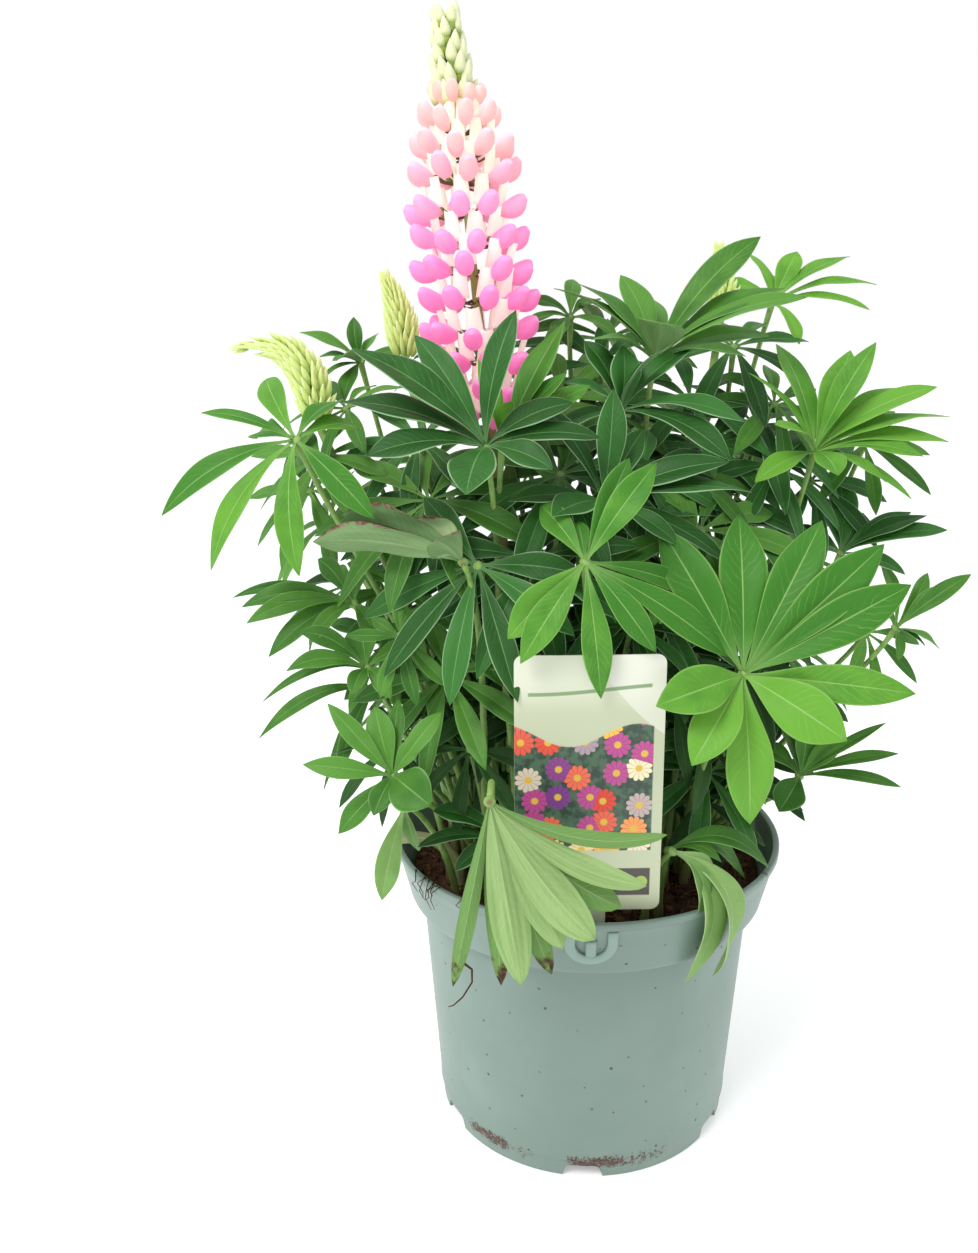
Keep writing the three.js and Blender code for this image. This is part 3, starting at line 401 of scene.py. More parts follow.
# tips are the places of the leaflets' ends from the hub, with a fourth value where one is not of the usual
# width and a fifth for its seed, 1 where the end has dried. Leaves without tips spread theirs evenly.
usual = dict(count=8, turn=0, spread=320, cup=12, droop=0.35, sag=0.3, width=0.21, fold=18, bow=0.1,
             look="green", wave=0.1, blunt=0.9, darker=0, shift=0, sideSag=0)
leaves = [
    dict(node="leaf_star_left", foot=(-54, -6), hub=(-127, -52, 352), face=(-112, 42),
         size=64, width=0.2, bow=0.14, shift=0.15, look="young",
         tips=[(-55, -12, -29), (-35, -18, -51), (2, -22, -53), (33, -15, -31), (-40, 6, 11, 0.55),
               (-17, 34, 23), (18, 28, 13), (25, 22, 2), (-23, 34, -3)]),
    dict(node="leaf_crown_left", foot=(-46, -11), hub=(-48, -48, 348), face=(-112, 60),
         size=74, width=0.26, shift=0.2, look="shade",
         tips=[(-55, 4, 40), (-30, 22, 45, 0.72), (13, 6, 55, 0.74), (-62, 10, 18, 0.9), (-49, -12, -2, 0.9),
               (-8, -32, -15, 1.1), (37, 8, 17, 0.8), (48, 0, 3, 0.8), (27, -20, -7, 0.7),
               (-25, 30, 17)]),
    dict(node="leaf_crown_young", foot=(-36, -14), hub=(-41, -34, 346), face=(-70, 70),
         size=50, width=0.3, bow=0.06, look="young",
         tips=[(28, 4, 31, 0.8), (5, -6, 20, 1.1), (28, 18, 52), (39, 12, 25, 0.8), (-10, 2, 37, 0.8)]),
    dict(node="leaf_crown_right", foot=(37, 4), hub=(30, 10, 380), face=(-72, 66),
         size=78, width=0.2, shift=-0.15,
         tips=[(-47, -8, 32, 0.8), (-35, 4, 34), (-14, 20, 38), (2, 36, 28), (49, 12, 54, 1.1),
               (58, -2, 31, 1.1), (65, -14, 27), (54, 6, 10, 0.9), (38, -20, 2), (-31, -20, 10),
               (-2, -30, 17, 1.5)]),
    dict(node="leaf_star_right", foot=(57, 1), hub=(104, 0, 338), face=(-70, 66),
         size=68, width=0.2, shift=-0.3, look="young",
         tips=[(19, 18, 45, 1.2), (26, 4, 49), (40, 12, 28, 0.9), (55, 2, 29), (60, -4, 16, 1.1),
               (59, -8, 5, 0.9), (44, -18, 0, 0.9), (4, -26, -7, 1.1), (-24, -20, 15),
               (-31, 6, 36, 0.9), (-14, 26, 48, 1.3), (42, -14, -20, 0.5), (27, -22, -11, 0.8),
               (-31, -18, -11, 0.9)]),
    dict(node="leaf_front_dark", foot=(30, -8), hub=(3, -35, 321), face=(-80, 58),
         size=74, width=0.19, shift=0.4, look="shade",
         tips=[(4, 4, 49), (-28, 2, 44, 0.8), (19, 14, 31, 0.9), (52, -10, 19, 1.2),
               (61, -16, 7, 1.1), (-24, -30, 0, 1.3), (-42, -14, 4, 0.9), (53, -14, -24, 0.9),
               (31, -22, -15, 0.7)]),
    dict(node="leaf_front_star", foot=(28, -18), hub=(-8, -75, 304), face=(-92, 30),
         size=62, width=0.25, bow=0.12, shift=0.3, look="young",
         tips=[(-32, -8, -30, 1.05), (-27, -16, -38, 0.95), (6, -14, -54, 0.85), (28, -12, -35, 0.8),
               (60, 0, -41, 0.95), (19, 16, 40, 0.8), (29, 8, 39, 0.9), (-2, 16, 14, 0.5),
               (-17, 26, 19, 0.8), (47, 22, -18, 0.7)]),
    dict(node="leaf_mid_dark", foot=(32, 0), hub=(13, -5, 358), face=(-68, 64),
         size=66, width=0.22, bow=0.12, look="shade",
         tips=[(18, -16, 28, 0.9), (52, -22, -3, 1.1), (44, -34, -18, 1.15), (-27, -14, 14, 0.9),
               (1, 2, 29, 1.1), (-16, 8, 31), (-35, -22, -10, 0.9), (37, 10, 29, 0.9)]),
    dict(node="leaf_big_star", foot=(45, -18), hub=(59, -75, 255), face=(-97, 22),
         size=72, width=0.3, darker=0.8, look="young",
         tips=[(-33, 26, 58, 0.95), (1, 28, 63), (35, 22, 61, 0.95), (58, 10, 53, 0.95),
               (67, 0, 38, 0.95), (66, -18, -3, 0.8), (37, -26, -20, 1.1), (3, -14, -62),
               (-25, -26, -30, 0.95), (-40, -24, -5)]),
    dict(node="leaf_back_left", foot=(-63, 12), hub=(-111, 60, 378), face=(-120, 60),
         size=46, width=0.24,
         tips=[(-29, -6, 15, 0.9), (-3, 4, 22, 0.8), (9, 6, 14, 0.7), (-20, -10, 3, 0.8),
               (-20, -18, -9, 0.7), (-9, -24, 2, 1.3), (26, 0, 5, 0.8), (-6, -26, -18)]),
    dict(node="leaf_pale_back", foot=(55, 20), hub=(98, 70, 405), face=(-45, 66),
         size=54, width=0.22, shift=-0.45, look="young",
         tips=[(40, 8, 22), (51, -4, 8), (45, -14, -4, 0.9), (15, 16, 25, 1.1), (-10, 14, 24),
               (-25, -8, 9, 1.1), (2, 22, 15), (9, -22, -20, 0.8)]),
    dict(node="leaf_top_back", foot=(28, 14), hub=(-6, 50, 399), face=(-90, 62),
         size=44, width=0.24, bow=0.14,
         tips=[(-20, 0, 8, 0.9), (-23, -12, -4, 0.9), (-10, -20, -13, 0.9), (22, -14, -10, 0.9),
               (16, 14, 8, 0.9), (3, 20, 18, 0.9), (-14, -26, -21, 0.9)]),
    dict(node="leaf_low_right", foot=(55, -6), hub=(99, -30, 189), face=(-60, 52),
         size=54, width=0.2,
         tips=[(3, 8, 25, 1.3), (-9, 14, 25, 0.9), (20, 2, 19), (38, -2, 27, 0.5), (43, -8, 14, 0.6),
               (44, -12, -1, 0.7), (-13, -16, -11, 1.5), (-18, 10, 13)]),
    dict(node="leaf_far_right", foot=(68, -2), hub=(145, -12, 256), face=(-40, 52),
         size=44, width=0.2,
         tips=[(33, 0, 26, 1.1), (24, 8, 19), (19, 16, 23), (11, -10, -6, 0.6), (16, -14, -6, 1.3),
               (-2, -12, -12, 0.8), (-7, 14, 10), (-2, 24, 28)]),
    dict(node="leaf_dark_right", foot=(62, 5), hub=(125, 15, 287), face=(-50, 60),
         size=60, width=0.24, bow=0.08, look="shade",
         tips=[(34, 4, 19, 0.9), (38, -6, 19, 0.8), (46, -12, 13, 0.8), (14, 14, 17, 1.1),
               (3, 22, 33, 1.1), (-13, 20, 28), (-23, 8, 10), (24, -22, -6, 0.8)]),
    dict(node="leaf_left_a", foot=(-60, -5), hub=(-110, -20, 273), face=(-112, 30),
         size=56, width=0.2, shift=0.15, bend=(0, 0, 7),
         tips=[(-50, -8, 1), (-47, -14, -5, 0.9), (-38, -14, -21, 1.2), (-18, -22, -13, 0.9),
               (-56, 2, 3, 0.5), (-17, 10, 19, 0.9), (5, 14, 19), (12, -12, -15, 0.9), (-11, 22, 11)]),
    dict(node="leaf_left_b", foot=(-68, -20), hub=(-103, -40, 248), face=(-108, 32),
         size=54, width=0.2, shift=0.15, bend=(0, 0, 8),
         tips=[(-47, -4, -14, 0.4), (-34, -12, 3, 0.9), (-29, 0, 17, 0.9), (-3, 8, 17, 1.6),
               (-5, -16, -7, 0.9), (22, 8, 6, 0.9), (12, -14, -10, 0.9)]),
    dict(node="leaf_left_small", foot=(-53, -14), hub=(-86, -55, 267), face=(-95, 30),
         size=38, width=0.2, bow=0.08,
         tips=[(-9, -8, -25), (7, -8, -29), (21, -4, -22), (-23, -4, 2, 0.8), (9, 4, 13, 0.8),
               (15, 0, 7, 0.7), (-13, 6, 7, 0.8), (-1, 10, 15, 0.8)]),
    dict(node="leaf_low_left", foot=(-54, -21), hub=(-89, -80, 213), face=(-95, 30),
         size=46, width=0.24, bow=0.12, shift=-0.2,
         tips=[(-27, 5, 31, 0.9), (-8, 12, 27, 1.2), (-37, -6, 8, 0.9), (-23, -10, -22),
               (-7, -18, -10), (17, -22, -4, 1.9), (21, 10, 25, 0.9), (12, 4, 16, 0.8),
               (2, 18, 28, 0.8)]),
    dict(node="leaf_left_c", foot=(-58, 1), hub=(-104, 5, 222), face=(-112, 34),
         size=54, width=0.2, shift=0.15, bend=(0, 0, 9),
         tips=[(-58, -8, -22, 0.8), (-19, -18, -40, 0.9), (-28, -4, -52, 0.5), (-16, 0, -5, 0.8),
               (24, -6, -10, 0.9), (12, 14, 19, 0.9), (32, 4, -2, 0.9)]),
    dict(node="leaf_hanging_left", foot=(-65, -39), hub=(-86, -62, 191), face=(-110, 8),
         size=44, width=0.3, bow=0.06, look="pale",
         tips=[(-11, -8, -43, 0.95), (5, 10, -28, 0.7)]),
    dict(node="leaf_withered", foot=(-50, -30), hub=(-58, -64, 302), face=(88, 26),
         size=74, width=0.33, arrive=(10, 12, -24), wave=0.32, look="withered",
         tips=[(-61, -8, 11, 0.75), (-50, 4, 20, 0.8), (-23, 12, 15, 0.8), (-11, -14, 12, 0.7)]),
    dict(node="leaf_droop_front", foot=(-48, -50), hub=(-48, -120, 219), face=(90, -14),
         size=77, width=0.19, bow=0.03, arrive=(2, 22, 16), blunt=0.6, fold=26, sideSag=0.13, look="pale",
         tips=[(-16, 4, -85, 0.6, 1), (4, 6, -86, 0.8, 1), (12, -6, -78, 1.25, 0.2), (25, 6, -81, 0.9, 1),
               (29, -4, -63, 1.1, 0.4), (41, -12, -54, 1.35, 0.1), (53, 4, -49, 1.2, 0.85),
               (61, -8, -33, 0.8, 0.4), (68, -10, -10, 0.55, 0.9)]),
    dict(node="leaf_curl_right", foot=(22, -66), hub=(32, -76, 174), face=(-52, 50),
         size=62, width=0.3, bend=(14, -4, 8), arrive=(-8, 10, -14), shift=-0.1, look="pale",
         tips=[(7, -6, -62), (21, 2, -64, 1.2), (10, -10, -27, 0.6), (16, 8, -32, 0.9)]),
    dict(node="leaf_soil_left", foot=(-22, -50), hub=(-41, -58, 170), face=(-100, 78),
         size=46, width=0.26, bend=(0, 0, 6), look="shade",
         tips=[(-33, 6, 13, 1.1), (-40, -2, -1, 0.8), (-23, -10, -9, 0.9), (-17, 8, -35, 0.8)]),
    dict(node="leaf_soil_right", foot=(30, -56), hub=(32, -66, 169), face=(-80, 62),
         size=56, width=0.22, bend=(1, 0, 13),
         tips=[(47, 6, -12), (40, 18, -25, 0.9), (24, 0, -6, 0.6)]),
    dict(node="leaf_inner_a", foot=(-48, 1), hub=(-66, 5, 307), face=(-115, 48),
         size=58, spread=300, droop=0.4, look="shade"),
    dict(node="leaf_inner_c", foot=(44, 3), hub=(53, 5, 315), face=(-70, 48),
         size=66, spread=300, droop=0.4, look="shade"),
    dict(node="leaf_inner_d", foot=(-34, -44), hub=(-52, -54, 298), face=(-110, 30),
         size=62, turn=-20, spread=240, cup=8, droop=0.3, look="shade"),
    dict(node="leaf_inner_e", foot=(38, -3), hub=(28, -15, 272), face=(-80, 40),
         size=58, spread=280, cup=10, droop=0.4, look="shade"),
    dict(node="leaf_inner_f", foot=(50, 5), hub=(78, 12, 272), face=(-60, 45),
         size=58, spread=300, droop=0.4, look="shade"),
    dict(node="leaf_inner_k", foot=(52, 12), hub=(85, 40, 347), face=(-60, 55),
         size=60, spread=300, cup=14, droop=0.4, look="shade"),
    dict(node="leaf_inner_l", foot=(-66, 6), hub=(-127, 35, 302), face=(-150, 50),
         size=50, spread=300, droop=0.4),
    dict(node="leaf_left_d", foot=(-30, -4), hub=(-74, -22, 321), face=(-112, 52),
         size=62, count=9, spread=310, cup=10, droop=0.4),
    dict(node="leaf_inner_b", foot=(-36, 2), hub=(-15, -22, 332), face=(-95, 52),
         size=60, spread=300, cup=14, droop=0.4, look="shade"),
    dict(node="leaf_inner_g", foot=(46, -4), hub=(48, -26, 307), face=(-78, 46),
         size=60, count=9, spread=310, cup=10, droop=0.4),
    dict(node="leaf_inner_h", foot=(-38, -6), hub=(-29, -46, 299), face=(-98, 40),
         size=58, spread=290, cup=10, droop=0.35, look="shade"),
    dict(node="leaf_inner_i", foot=(-42, 6), hub=(-66, -40, 244), face=(-112, 40),
         size=52, count=9, spread=300, cup=8, droop=0.35),
    dict(node="leaf_inner_j", foot=(44, 16), hub=(57, -20, 187), face=(-80, 46),
         size=50, spread=300, cup=14, droop=0.4, look="shade"),
    dict(node="leaf_left_e", foot=(-52, 8), hub=(-89, -10, 277), face=(-118, 34),
         size=50, count=9, spread=300, cup=8, droop=0.45, width=0.18),
    dict(node="leaf_back_a", foot=(-49, 25), hub=(-78, 86, 322), face=(122, 52),
         size=58, count=7, cup=14, droop=0.4),
    dict(node="leaf_back_b", foot=(29, 26), hub=(0, 94, 345), face=(92, 50),
         size=58, count=7, cup=14, droop=0.4),
    dict(node="leaf_back_c", foot=(48, 24), hub=(66, 90, 335), face=(60, 52),
         size=58, count=7, cup=14, droop=0.4),
    dict(node="leaf_back_d", foot=(-67, 18), hub=(-122, 62, 262), face=(150, 50),
         size=54, count=7, cup=14, droop=0.4, look="shade"),
    dict(node="leaf_back_e", foot=(58, 26), hub=(118, 70, 275), face=(32, 50),
         size=54, count=7, cup=14, droop=0.4, look="shade"),
    dict(node="leaf_back_f", foot=(-42, 26), hub=(-42, 98, 250), face=(108, 46),
         size=52, count=7, cup=14, droop=0.4, look="shade"),
    dict(node="leaf_back_g", foot=(40, 32), hub=(46, 98, 240), face=(72, 46),
         size=52, count=7, cup=14, droop=0.4),
    dict(node="leaf_back_h", foot=(33, 20), hub=(14, 72, 388), face=(85, 64),
         size=54, cup=16),
    dict(node="leaf_back_i", foot=(-37, 31), hub=(-52, 70, 378), face=(112, 62),
         size=52, cup=16, look="shade"),
    dict(node="leaf_back_k", foot=(-52, 19), hub=(-94, 70, 196), face=(140, 46),
         size=44, count=7, droop=0.4),
    dict(node="leaf_back_l", foot=(70, 18), hub=(104, 60, 190), face=(28, 46),
         size=44, count=7, droop=0.4),
    dict(node="leaf_back_m", foot=(36, 26), hub=(26, 92, 186), face=(88, 42),
         size=42, count=7, droop=0.4),
]
stem = dict(bottom=124.3, top=135, footRadius=1.9, hubRadius=1.2, steps=16)
hub = dict(heights=(-1.6, -1.0, 0.0, 0.7, 1.0), radii=(0.8, 2.0, 2.5, 1.8, 0.4), sides=10)
blade = dict(thick=0.45, rib=0.5, groove=0.16, twist=0.45)
fineGrid = dict(rows=20, across=(-1, -0.93, -0.76, -0.52, -0.27, -0.09, 0, 0.09, 0.27, 0.52, 0.76, 0.93, 1))
plainGrid = dict(rows=12, across=(-1, -0.8, -0.4, 0, 0.4, 0.8, 1))


def leafFrame(leaf):
    azimuth, elevation = (math.radians(angle) for angle in leaf["face"])
    flat = math.cos(elevation)
    normal = np.array([flat * math.cos(azimuth), flat * math.sin(azimuth), math.sin(elevation)])
    down = unit(-up + normal * normal[2])
    return normal, down, np.cross(normal, down)


def outline(share, blunt):  # half the width of a leaflet along its length
    return math.sin(math.pi * min(share, 0.999) ** 1.4) ** blunt


def evenRib(leaf, index, i, steps):  # the middle of a leaflet and the two directions along and across it
    normal, down, side = leafFrame(leaf)
    share = (i - (leaf["count"] - 1) / 2) / (leaf["count"] - 1)
    turn = share * math.radians(leaf["spread"]) + math.radians(leaf["turn"]) + 0.06 * draw(index, i, 1)
    lift = math.radians(leaf["cup"]) + 0.14 * draw(index, i, 2)
    length = leaf["size"] * (1 - 0.28 * (2 * share) ** 2) * (1 + 0.07 * draw(index, i, 3))
    bend = leaf["droop"] * (1 + 0.4 * draw(index, i, 4))
    along = down * math.cos(turn) + side * math.sin(turn)
    along = along * math.cos(lift) + normal * math.sin(lift)
    across = unit(np.cross(normal, along))
    point = np.array(leaf["hub"], float) + along * 0.5
    rows = [(point, along, across)]
    for _ in range(steps):
        along = unit(along - normal * bend / steps - up * leaf["sag"] / steps)
        point = point + along * length / steps
        across = unit(across - along * across.dot(along))
        rows.append((point, along, across))
    return rows


def tipRib(leaf, tip, steps):  # the same for a leaflet that arches from the hub to its tip
    start = np.array(leaf["hub"], float)
    reach = np.array(tip[:3], float)
    length = np.linalg.norm(reach)
    normal = leafFrame(leaf)[0]
    over = unit(normal - reach * normal.dot(reach) / length ** 2)
    rise = over * leaf["bow"] * length
    if "bend" in leaf:
        rise = np.array(leaf["bend"], float) * length / leaf["size"]
    rise = rise - up * leaf["sideSag"] * abs(reach[0])
    across = unit(np.cross(over, reach))
    rows = []
    for t in np.linspace(0, 1, steps + 1):
        point = start + reach * t + rise * 4 * t * (1 - t)
        along = unit(reach + rise * 4 * (1 - 2 * t))
        rows.append((point, along, unit(across - along * across.dot(along))))
    return rows


def leafletSeed(leaf, tip, index, i):  # 0 for a bright leaflet, 1 for a dark or a dried one
    seed = 0.45 + 0.42 * draw(index, i, 8)
    # painted shade: on a leaf with tips, leaflets that point upwards take the darker colour by this share, as
    # if less light fell on them
    if tip and leaf["darker"]:
        seed = 0.45 + leaf["darker"] * tip[2] / np.linalg.norm(tip[:3]) + 0.08 * draw(index, i, 8)
    return tip[4] if tip and len(tip) > 4 else min(max(seed + leaf["shift"], 0), 0.9)


def addLeaflet(shape, leaf, index, i, grid):
    tip = leaf["tips"][i] if "tips" in leaf else None
    last = grid["rows"]
    rows = tipRib(leaf, tip, last) if tip else evenRib(leaf, index, i, last)
    u = np.array(grid["across"])
    wide = np.abs(u)
    fullHalf = leaf["width"] * leaf["size"] / 2 * (tip[3] if tip and len(tip) > 3 else 1)
    twist = blade["twist"] * draw(index, i, 5)
    phase = 3 * draw(index, i, 6)
    seed = np.full(len(u), leafletSeed(leaf, tip, index, i))
    upper = []
    lower = []
    marks = []
    for row, (point, along, across) in enumerate(rows):
        share = row / last
        half = max(fullHalf * outline(share, leaf["blunt"]), 0.9 * (1 - share), 0.12)
        turned = twist * share ** 1.5
        above = np.cross(along, across)
        across, above = (across * math.cos(turned) + above * math.sin(turned),
                         above * math.cos(turned) - across * math.sin(turned))
        fold = math.radians(leaf["fold"]) * lerp(1.6, 0.8, share)
        rise = half * math.sin(fold) * (np.sqrt(u * u + 0.03) - 0.17)
        rise += half * leaf["wave"] * np.sin(9 * share + phase + 2 * u) * wide ** 2
        rise -= half * 0.12 * wide ** 6
        thick = blade["thick"] * (1 - 0.6 * wide ** 3) * lerp(1, 0.5, share)
        near = np.exp(-(u * half / 0.55) ** 2)
        top = rise + thick / 2 - blade["groove"] * near * (1 - share)
        base = rise - thick / 2 - blade["rib"] * near * (1 - 0.85 * share)
        spread = np.outer(u * half * math.cos(fold), across)
        upper.append(point + spread + np.outer(top, above))
        lower.append(point + spread + np.outer(base, above))
        marks.append(np.stack([u, np.full(len(u), share), seed], 1))
    count = (last + 1) * len(u)
    side = np.concatenate([np.ones(count), np.zeros(count)])
    shape.add(np.concatenate(upper + lower), sheetFaces(last, len(u)), 0, np.concatenate(marks + marks), side)


def stalkPath(leaf):
    foot = np.array([*leaf["foot"], stem["top"]], float)
    end = np.array(leaf["hub"], float)
    reach = np.linalg.norm(end - foot)
    if "arrive" in leaf:
        before = end + np.array(leaf["arrive"], float)
    else:
        before = end - leafFrame(leaf)[0] * 0.25 * reach - up * 0.1 * reach
    rise = foot + up * 0.4 * reach
    rise[:2] += 0.12 * (end - foot)[:2]
    return bezier(foot, rise, before, end, stem["steps"])


def addTube(shape, centres, radii, finish=0, around=8, seed=0.5):
    points = tube(centres, radii, around)
    rings = len(radii)
    turn = np.tile(np.arange(around) / around, rings)
    share = np.repeat(np.linspace(0, 1, rings), around)
    grain = np.stack([turn, share, np.full(len(turn), seed)], 1)
    shape.add(points, ringFaces(rings, around), finish, grain)


def addStalk(shape, leaf, index):
    path = stalkPath(leaf)
    root = path[0] - up * (stem["top"] - stem["bottom"])
    centres = np.concatenate([[root], path])
    share = np.linspace(0, 1, len(centres))
    radii = lerp(stem["footRadius"], stem["hubRadius"], share)
    radii = radii + 0.9 * np.exp(-(share / 0.06) ** 2) + 0.5 * np.exp(-((1 - share) / 0.03) ** 2)
    addTube(shape, centres, radii, 1, seed=draw(index, 0, 9) / 2 + 0.5)


def addHub(shape, leaf):  # the small pale button that the leaflets spring from
    normal = leafFrame(leaf)[0]
    middle = np.array(leaf["hub"], float)
    addTube(shape, [middle + normal * h for h in hub["heights"]], hub["radii"], 1, around=hub["sides"])


def camel(node):
    first, *rest = node.split("_")
    return first + "".join(word.capitalize() for word in rest)


def addLeaf(shape, leaf, index, grid):
    addStalk(shape, leaf, index)
    addHub(shape, leaf)
    for i in range(len(leaf["tips"]) if "tips" in leaf else leaf["count"]):
        addLeaflet(shape, leaf, index, i, grid)


for index, row in enumerate(leaves):
    leaf = {**usual, **row}
    shape = Shape()
    addLeaf(shape, leaf, index, fineGrid)
    piece = shape.build(camel(leaf["node"]), [leafFinishes[leaf["look"]], stalkSkin])
    place(piece, leafSlots[leaf["look"]], leaf["node"])

# The small leaves inside the mound: three layers of them, then those that fill its gaps.
inside = dict(count=63, across=104, deep=54, middle=(4, 24), crown=350, drop=95, layer=56, foot=64,
              turn=2.399963, rimClear=150, clearSlope=0.85)  # turn is the golden angle
fillers = dict(  # each with its place and its size
    green=[(-115, 25, 358, 42), (-126, 12, 336, 42), (-133, 15, 320, 40), (93, 35, 357, 46),
           (-12, 25, 361, 42), (137, 30, 338, 40), (-97, -10, 252, 40), (136, 2, 250, 34)],
    shade=[(74, 45, 384, 48), (51, 30, 360, 48), (57, 20, 339, 50), (22, -12, 330, 46),
           (-79, 5, 345, 46), (8, 45, 376, 44), (-77, 0, 308, 46), (112, 30, 320, 46), (90, 15, 330, 44)],
    # painted shade: these low fillers take the darker deep finish
    deep=[(-91, -20, 203, 40), (-72, -10, 222, 44), (-57, -35, 206, 40), (-43, -20, 225, 44),
          (53, -25, 175, 38), (78, -10, 189, 40), (-20, -10, 215, 46), (10, -5, 220, 46),
          (40, -15, 225, 46), (95, 0, 225, 44), (70, -20, 240, 46), (-60, -5, 262, 46)],
)


def insideLeaf(k):
    layer = k % 3
    share = (k + 0.5) / inside["count"]
    turn = inside["turn"] * k
    radius = math.sqrt(share) * (1 - 0.14 * layer)
    x = inside["middle"][0] + inside["across"] * radius * math.cos(turn)
    y = inside["middle"][1] + inside["deep"] * radius * math.sin(turn)
    z = inside["crown"] - inside["drop"] * share - inside["layer"] * layer + 20 * draw(k, 1, 41)
    z = max(z, inside["rimClear"] + inside["clearSlope"] * math.hypot(x, y))
    foot = inside["foot"] * (0.25 + 0.6 * radius)
    return {**usual, "hub": (x, y, z), "foot": (foot * math.cos(turn), foot * math.sin(turn)),
            "face": (math.degrees(math.atan2(y - 50, x)) + 25 * draw(k, 2, 42), 52 + 14 * draw(k, 3, 43)),
            "size": 47 + 9 * draw(k, 4, 44), "spread": 310, "cup": 14, "droop": 0.45,
            "width": 0.2 + 0.02 * draw(k, 5, 45)}


def fillLeaf(k, x, y, z, size):
    foot = 55 / max(math.hypot(x, y), 60)
    return {**usual, "hub": (x, y, z), "foot": (foot * x, foot * y), "size": size,
            "face": (-98 + 0.2 * x + 15 * draw(k, 6, 46), 46 + 8 * draw(k, 7, 47)),
            "turn": 30 * draw(k, 8, 48), "spread": 315, "cup": 12, "droop": 0.4, "width": 0.21}


def makeInside(name, look, chosen):
    shape = Shape()
    for k in chosen:
        addLeaf(shape, insideLeaf(k), 100 + k, plainGrid)
    for k, row in enumerate(fillers[look]):
        addLeaf(shape, fillLeaf(k, *row), 200 + k, plainGrid)
    return place(shape.build(name, [leafFinishes[look], stalkSkin]), leafSlots[look])


makeInside("insideLeavesGreen", "green", range(0, inside["count"], 6))
makeInside("insideLeavesShade", "shade", range(3, inside["count"], 6))
# painted shade: the two lower layers take the darker deep finish
makeInside("insideLeavesDeepShade", "deep", [k for k in range(inside["count"]) if k % 3])
print("stage: leaves")


# flower spike

spike = dict(foot=(-34, 14), base=(-46, 0, 354), top=(-63, 0, 521), stem=2.5, florets=9, last=0.79,
             share=[0, 0.1, 0.23, 0.44, 0.575, 0.66, 0.715, 0.78, 0.82],
             reach=[23, 26, 28, 28, 27, 25, 22.5, 16, 12],
             size=[1, 1, 1, 1, 0.95, 0.9, 0.82, 0.64, 0.54],
             lean=[-0.05, -0.05, 0, 0.02, 0.14, 0.28, 0.44, 0.7, 0.95],
             spacing=[12.6, 12.6, 12.6, 12.6, 11, 9.6, 8.6, 7.4, 7])
pods = dict(levels=7, around=6, spacing=5.3, length=(12, 9), thick=(3.1, 2.5), out=(5.4, 3.4),
            open=(0.42, 0.12), bract=(7.5, 2.3))


def pouchFinish():
    f = Finish("pouch")
    across, along, seed, age = f.marks()
    stops = [(0.0, paint("d468ac")), (0.14, paint("f27cc2")), (0.42, paint("fb98d4")),
             (0.66, paint("fcb4dc")), (0.8, paint("fdcbc8")), (1.0, paint("feead8"))]
    tone = f.node("ValToRGB", dict(stops=stops), {0: age + seed * 0.08 - 0.04}, output=0)
    streaks = f.noise(1.0, 3, f.vector(across * 22, along * 2, seed * 20))
    # partly the flower's own lilac tinge and partly painted highlight: each pouch is lighter towards its top,
    # lilac on open florets and near white on younger ones
    tone = f.blend(f.band(across, 0.5, 0.95) * 0.8 * f.band(age, 1.0, 0.7), tone, paint("f6bcf2"))
    tone = f.blend(f.band(across, 0.45, 0.9) * f.band(age, 0.62, 0.85), tone, paint("fdf0f4"))
    full = f.band(age, 0.9, 0.5)
    # partly the flower's own deeper pink and partly painted shade: the underside of the open pouches is
    # darker
    tone = f.blend(f.band(across, 0.4, 0.0) * full * 0.3, tone, paint("f088a8"))
    tone = f.blend(f.band(streaks, 0.5, 0.75) * full * 0.35, tone, paint("e070b2"))
    tone = f.blend(f.band(age, 0.6, 0.95) * f.band(across, 0.5, 0.1) * 0.5, tone, paint("fcc4a6"))
    tone = f.blend(f.band(along, 0.3, 0.0) * 0.5, tone, paint("f7d9e6"))
    glow = dict(share=0.4, colour="ffbce0")
    # painted glow: the pouch emits a little of its own colour, so it looks brighter than its lighting makes
    # it
    return f.surface(tone, 0.5 + streaks * 0.1, f.bump(streaks, 0.2, 0.2), glow,
                     **{"Specular IOR Level": 0.3, "Emission Color": tone, "Emission Strength": 0.2})


def bannerFinish():
    f = Finish("banner")
    across, along, seed, age = f.marks()
    stops = [(0.0, paint("f6e2dc")), (0.25, paint("fdf2ea")), (0.6, paint("fffbf2")), (1.0, paint("fefce8"))]
    tone = f.node("ValToRGB", dict(stops=stops), {0: age}, output=0)
    streaks = f.noise(1.0, 3, f.vector(across * 8, along * 1.5, seed * 20))
    blush = f.band(along + streaks * 0.5, 0.9, 0.4) * f.band(seed, 0.2, 0.9)
    tone = f.blend(blush * 0.35, tone, paint("f8cbd4"))
    glow = dict(share=0.5, colour="fffdf6")
    # painted glow: the banner emits a little of its own colour, so it looks brighter than its lighting makes
    # it
    return f.surface(tone, 0.5, f.bump(streaks, 0.2, 0.2), glow,
                     **{"Specular IOR Level": 0.3, "Emission Color": tone, "Emission Strength": 0.3})


